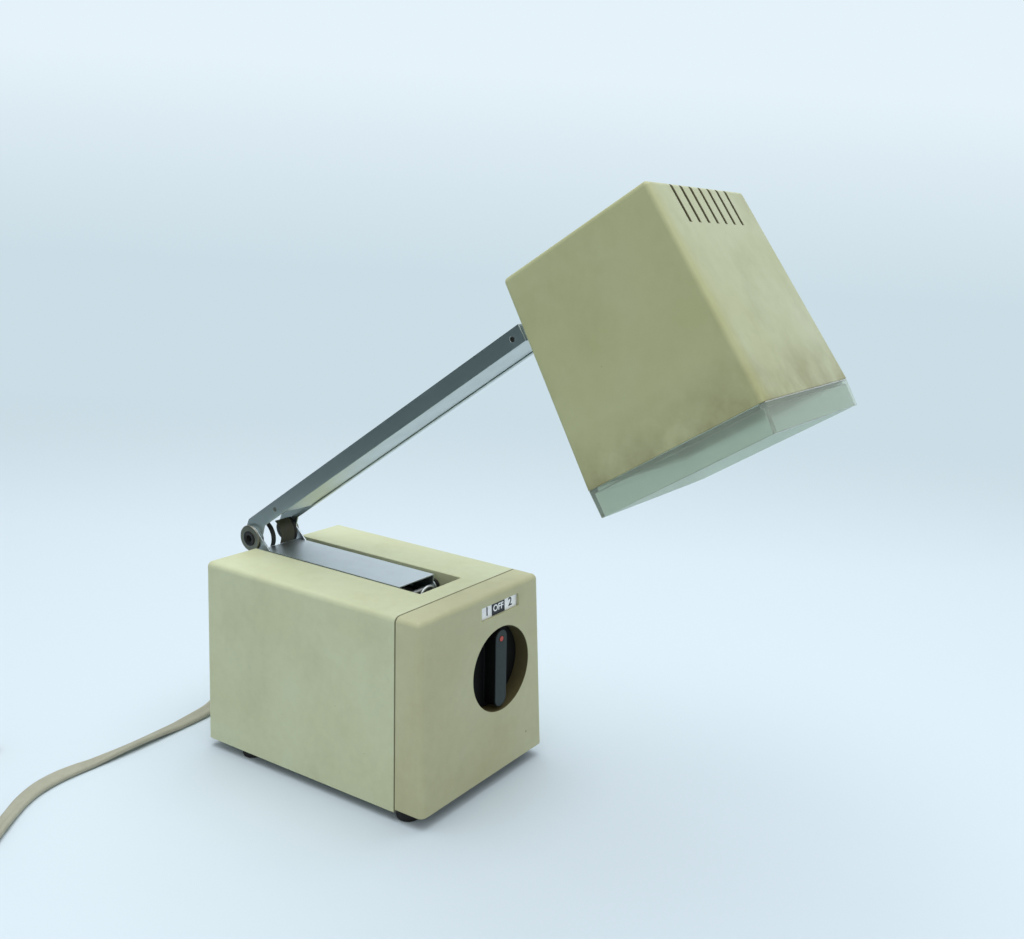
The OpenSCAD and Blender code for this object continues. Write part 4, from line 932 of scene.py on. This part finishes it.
# %% [markdown]
# ## The cord
# A flat twin cord leaves the rear wall through a rubber sleeve, bends round the base's corner and
# crosses the table to a coil that is put away outside the picture. Its route is the CAD model's:
# the points of the two free stretches are listed, and the coil's turns come from a formula.

# %% The cord's route
cord_w = 6.6 * mm
cord_t = 3.3 * mm
cord_exit = Vector((-81.480, 32, 18)) * mm
run_points = [
    [-87, 32, 18], [-92.5, 30.3, 17.3], [-97.6, 26.7, 15.8], [-102, 22.4, 14.2],
    [-105.4, 17, 12.2], [-107.6, 11, 10], [-108.4, 4, 7.8], [-107.6, -3.4, 5.8],
    [-105.4, -10.6, 4.2], [-102.8, -17.2, 3], [-100.8, -24, 2.2], [-100, -32, 1.8],
    [-99.6, -41, 1.7], [-99, -51, 1.7], [-98.4, -61, 1.7], [-98, -71, 1.7], [-98.1, -81, 1.7],
    [-98.5, -91, 1.7], [-98.7, -101, 1.7], [-98, -111, 1.7], [-95.6, -121, 1.7],
    [-91, -130.6, 1.7], [-85, -139, 1.7], [-78.4, -147.1, 1.7], [-71.8, -155.2, 1.7],
]
tail_points = [
    [-144.1, -220, 5.5], [-148.3, -214.5, 5], [-152, -208.4, 4.1], [-155.2, -201.8, 3.2],
    [-157.6, -194.6, 2.6], [-158.8, -187.4, 2.8], [-159, -180, 4], [-159, -173, 5.6],
    [-159, -167, 7], [-159, -161, 7],
]
route_step = 2 * mm
coil_centre = Vector((-98.5, -199.2, 0)) * mm
coil_out = 48.5 * mm
coil_pitch = 7.3 * mm
coil_turns = 6.5
coil_start = 39.3
coil_lift = 3.8 * mm
coil_soft = 0.12
coil_rings = 72
cord_z = 1.7 * mm


def coil_point(turn):
    """The cord's middle after so many turns: in on the table, and out again on top."""
    past = turn - coil_turns / 2
    radius = coil_out - coil_pitch * (coil_turns / 2 - math.hypot(past, coil_soft))
    rise = min(1, max(0, past * 2 + 0.5))
    angle = math.radians(coil_start - 360 * turn)
    height = cord_z + coil_lift * rise * rise * (3 - 2 * rise)
    return coil_centre + Vector((radius * math.cos(angle), radius * math.sin(angle), height))


def eased(points, step):
    """A smooth curve through the points, with a new point about every step."""
    out = []
    for i in range(len(points) - 1):
        a, b = points[i], points[i + 1]
        before = points[i - 1] if i else 2 * a - b
        after = points[i + 2] if i + 2 < len(points) else 2 * b - a
        count = max(1, round((b - a).length / step))
        for k in range(count):
            t = k / count
            out.append(
                ((2 * a) + (b - before) * t + (2 * before - 5 * a + 4 * b - after) * t * t
                 + (3 * a - before - 3 * b + after) * t ** 3) / 2
            )
    return out + [points[-1]]


def length_of(line):
    """The length of a line of points."""
    return sum((b - a).length for a, b in zip(line, line[1:]))


coil_steps = int(coil_turns * coil_rings)
coil_line = [coil_point(i / coil_rings) for i in range(coil_steps + 1)]
run_line = eased([cord_exit] + [Vector(p) * mm for p in run_points] + coil_line[:1], route_step)
tail_line = eased(coil_line[-1:] + [Vector(p) * mm for p in tail_points], route_step)
cord_line = run_line[:-1] + coil_line + tail_line[1:]
print(f"cord {length_of(cord_line):.3f} m long, {len(cord_line)} rings")

# %% [markdown]
# The section is two round cores side by side with a groove between them. Its rings are set square
# to the route, with the cord's wide side level. An old cord never lies quite flat, so the free
# stretch rolls a little to and fro, and lifts by as much as its lower core would otherwise sink
# into the table.

# %% The cord's skin
section_points = 24
groove_deep = 0.42
groove_wide = 0.22
side_blunt = 0.8
top_blunt = 0.72
roll_length = 95 * mm
roll_most = math.radians(24)
roll_fade = 60 * mm


def cord_section(i):
    """A point of the section, as shares of half the width and half the thickness."""
    angle = 2 * math.pi * (i + 0.5) / section_points
    across, up = math.cos(angle), math.sin(angle)
    waist = 1 - groove_deep * math.exp(-((across / groove_wide) ** 2))
    lobe = math.copysign(abs(across) ** side_blunt, across)
    return lobe, math.copysign(abs(up) ** top_blunt, up) * waist


section = [cord_section(i) for i in range(section_points)]
cord_rings = []
travelled = 0.0
run_length = length_of(run_line)
for i, middle in enumerate(cord_line):
    ahead = cord_line[min(i + 1, len(cord_line) - 1)] - cord_line[max(i - 1, 0)]
    ahead = ahead.normalized()
    side = Vector((0, 0, 1)).cross(ahead).normalized()
    up = ahead.cross(side)
    if i:
        travelled += (middle - cord_line[i - 1]).length
    fade = min(1, travelled / roll_fade, max(0, (run_length - travelled) / roll_fade))
    roll = roll_most * fade * math.sin(2 * math.pi * travelled / roll_length)
    lift = Vector((0, 0, (cord_w - cord_t) / 2 * abs(math.sin(roll))))
    turn = Matrix.Rotation(roll, 3, ahead)
    cord_rings.append([
        middle + lift + turn @ (side * (s * cord_w / 2) + up * (t * cord_t / 2))
        for s, t in section
    ])
cord = skin("mains_cord", cord_rings)
smooth(cord, round_angle)
for node in ("cord_run", "cord_coil", "cord_tail"):
    seated(cord, node)
print(f"{len(cord.data.polygons)} faces on the cord")

# %% [markdown]
# ## The printed label
# A white plate sits behind a window over the knob. Its middle third is black, and the three places
# of the switch are printed on it: 1, OFF and 2. The letters are text that is turned into a thin
# mesh, laid on the plate and tilted with the knob's face.

# %% Where the label lies
face_tall = 95
face_back = 3.2
face_lean = math.atan(face_back / face_tall)
plate_t = 0.9 * mm
plate_low, plate_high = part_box("label_plate")
plate_middle = (plate_low + plate_high) / 2
# Text is made flat. This turns its right to +Y, its top to +Z and its face to +X.
facing_front = Matrix(((0, 0, 1, 0), (1, 0, 0, 0), (0, 1, 0, 0), (0, 0, 0, 1)))
label_turn = Matrix.Rotation(-face_lean, 4, "Y") @ facing_front
label_surface = Matrix.Translation((0, 0, plate_t / 2))
label_frame = Matrix.Translation(plate_middle) @ label_turn @ label_surface


def on_label(piece, across, out, finish):
    """Moves a flat mesh onto the label, across and out from its middle, and paints it."""
    piece.data.transform(label_frame @ Matrix.Translation((across, 0, out)))
    piece.matrix_world = Matrix.Identity(4)
    painted(piece, finish, "base")


# %% The black field and the letters
field_w = 9.9 * mm
field_h = 6.4 * mm
field_t = 0.06 * mm
field_edge = 0.02 * mm
field_across = -0.15 * mm
field_out = 0.03 * mm
number_h = 4.2 * mm
word_h = 3.2 * mm
size_per_height = 1.4
print_half_t = 0.02 * mm
print_bold = 0.1 * mm
print_out = 0.09 * mm


def printed(text, name, across, height, finish):
    """Text as a thin raised print, centred at a place across the label."""
    bpy.ops.object.select_all(action="DESELECT")
    bpy.ops.object.text_add(location=(0, 0, 0))
    letters = bpy.context.object
    letters.data.body = text
    letters.data.size = height * size_per_height
    letters.data.align_x = "CENTER"
    letters.data.align_y = "CENTER"
    letters.data.extrude = print_half_t
    letters.data.offset = print_bold
    letters.data.resolution_u = 6
    letters.name = name
    only(letters)
    bpy.ops.object.convert(target="MESH")
    on_label(letters, across, print_out, finish)


bpy.ops.object.select_all(action="DESELECT")
bpy.ops.mesh.primitive_cube_add(size=1)
field = bpy.context.object
field.name = "label_off_field"
field.data.transform(Matrix.Diagonal((field_w, field_h, field_t, 1)))
modify(field, "BEVEL", width=field_edge, segments=1)
on_label(field, field_across, field_out, "label_black")
printed("1", "label_one", -8.6 * mm, number_h, "label_black")
printed("OFF", "label_off", -0.1 * mm, word_h, "label_white")
printed("2", "label_two", 9.0 * mm, number_h, "label_black")

# %% [markdown]
# ## Floor, backdrop and light
# The photograph was made on pale blue-white paper. One sheet lies flat under the lamp and curves
# up behind it.

# %% Paper sweep
paper_half = 3.0
paper_cells = 120
bend_start = 1.0
bend_height = 1.6
view_back = Vector((camera_back.x, camera_back.y, 0)).normalized()
bpy.ops.object.select_all(action="DESELECT")
bpy.ops.mesh.primitive_grid_add(
    x_subdivisions=paper_cells, y_subdivisions=paper_cells, size=2 * paper_half
)
paper = bpy.context.object
paper.name = "paper_sweep"
for vertex in paper.data.vertices:
    behind = max(0, -vertex.co.dot(view_back) - bend_start)
    vertex.co.z = bend_height * (1 - math.cos(min(math.pi / 2, behind)))
smooth(paper, round_angle)

# %% [markdown]
# Near the lamp the sheet is plain matte paper, so it keeps the lamp's shadow. Far from it, the
# camera and the shiny pieces see the sheet's own even tone, which is a little paler towards the
# top.

# %% The paper's finish
paper_low = srgb(203, 221, 230)
paper_high = srgb(229, 242, 250)
open_floor = 0.35
far_start = 0.35
far_end = 0.95
pale_low = 0.16
pale_high = 0.55
sheet = Finish("paper", Base_Color=srgb(206, 217, 224), Roughness=0.9)
spot = sheet.place()
backwards = sheet.vector("DOT_PRODUCT", spot, tuple(-view_back), output="Value")
around = sheet.vector("LENGTH", spot, output="Value") - open_floor
away = backwards.maths("MAXIMUM", backwards, around)
tone = sheet.mix(sheet.step(spot.part("Z"), pale_low, pale_high), paper_low, paper_high)
own_light = sheet.node("ShaderNodeEmission", {}, {"Color": tone, "Strength": 1.0})
seen = sheet.node("ShaderNodeLightPath", output="Is Camera Ray")
mirrored = sheet.node("ShaderNodeLightPath", output="Is Glossy Ray")
far = sheet.step(away, far_start, far_end) * (seen + mirrored).limited()
plain_paper = Value(sheet, sheet.shader.outputs["BSDF"])
blend = sheet.node("ShaderNodeMixShader", {}, (far, plain_paper, own_light))
sheet.tree.links.new(blend.socket, sheet.tree.nodes["Material Output"].inputs["Surface"])
paper.data.materials.append(sheet.material)

# %% [markdown]
# The near side of the raised arm mirrors the dim room behind the camera. A dark card stands in for
# it. Only mirrored light meets the card: it throws no shadow and hides nothing from any side.

# %% Dark card
card_place = Vector((-0.21, -0.295, 0.2))
card_size = (0.6, 0.4, 0.004)
bpy.ops.object.select_all(action="DESELECT")
bpy.ops.mesh.primitive_cube_add(size=1)
card = bpy.context.object
card.name = "dark_card"
facing = Vector((-card_place.x, -card_place.y, 0)).to_track_quat("Z", "Y").to_matrix().to_4x4()
card.data.transform(Matrix.Translation(card_place) @ facing @ Matrix.Diagonal((*card_size, 1)))
card.visible_camera = False
card.visible_diffuse = False
card.visible_shadow = False
card.visible_transmission = False
card.data.materials.append(Finish("card", Base_Color=srgb(80, 96, 99), Roughness=0.9).material)

# %% [markdown]
# One large soft light hangs over the lamp, and a pale sky fills the shadows. The camera sees the
# sky in another tone, that of the paper's far end, so that nothing darker stands behind the sheet.

# %% Light and sky
light_place = Vector((0.1, 0.02, 1.5))
light_aim = Vector((0, 0, 0.1))
light_size = 1.9
light_power = 22.5
light_colour = (0.94, 0.975, 1)
sky_colour = (0.92, 0.965, 1.0, 1)
sky_level = 0.62
seen_colour = (*srgb(214, 230, 239), 1)

light_data = bpy.data.lights.new("soft_top", "AREA")
light_data.shape = "DISK"
light_data.size = light_size
light_data.energy = light_power
light_data.color = light_colour
light = bpy.data.objects.new("soft_top", light_data)
bpy.context.scene.collection.objects.link(light)
light.location = light_place
light.rotation_euler = (light_aim - light_place).to_track_quat("-Z", "Y").to_euler()

world = bpy.data.worlds.new("studio")
bpy.context.scene.world = world
world.use_nodes = True
sky_nodes = world.node_tree.nodes
sky = sky_nodes["Background"]
sky.inputs["Color"].default_value = sky_colour
sky.inputs["Strength"].default_value = sky_level
behind_all = sky_nodes.new("ShaderNodeBackground")
behind_all.inputs["Color"].default_value = seen_colour
behind_all.inputs["Strength"].default_value = 1
sky_blend = sky_nodes.new("ShaderNodeMixShader")
sky_seen = sky_nodes.new("ShaderNodeLightPath")
for source, target in (
    (sky_seen.outputs["Is Camera Ray"], sky_blend.inputs[0]),
    (sky.outputs[0], sky_blend.inputs[1]),
    (behind_all.outputs[0], sky_blend.inputs[2]),
    (sky_blend.outputs[0], sky_nodes["World Output"].inputs["Surface"]),
):
    world.node_tree.links.new(source, target)
bpy.context.scene.view_settings.view_transform = "Standard"

# %% [markdown]
# ## The cord's points
# The last value is the list of the points along the cord's route.

[tuple(p) for p in cord_line]
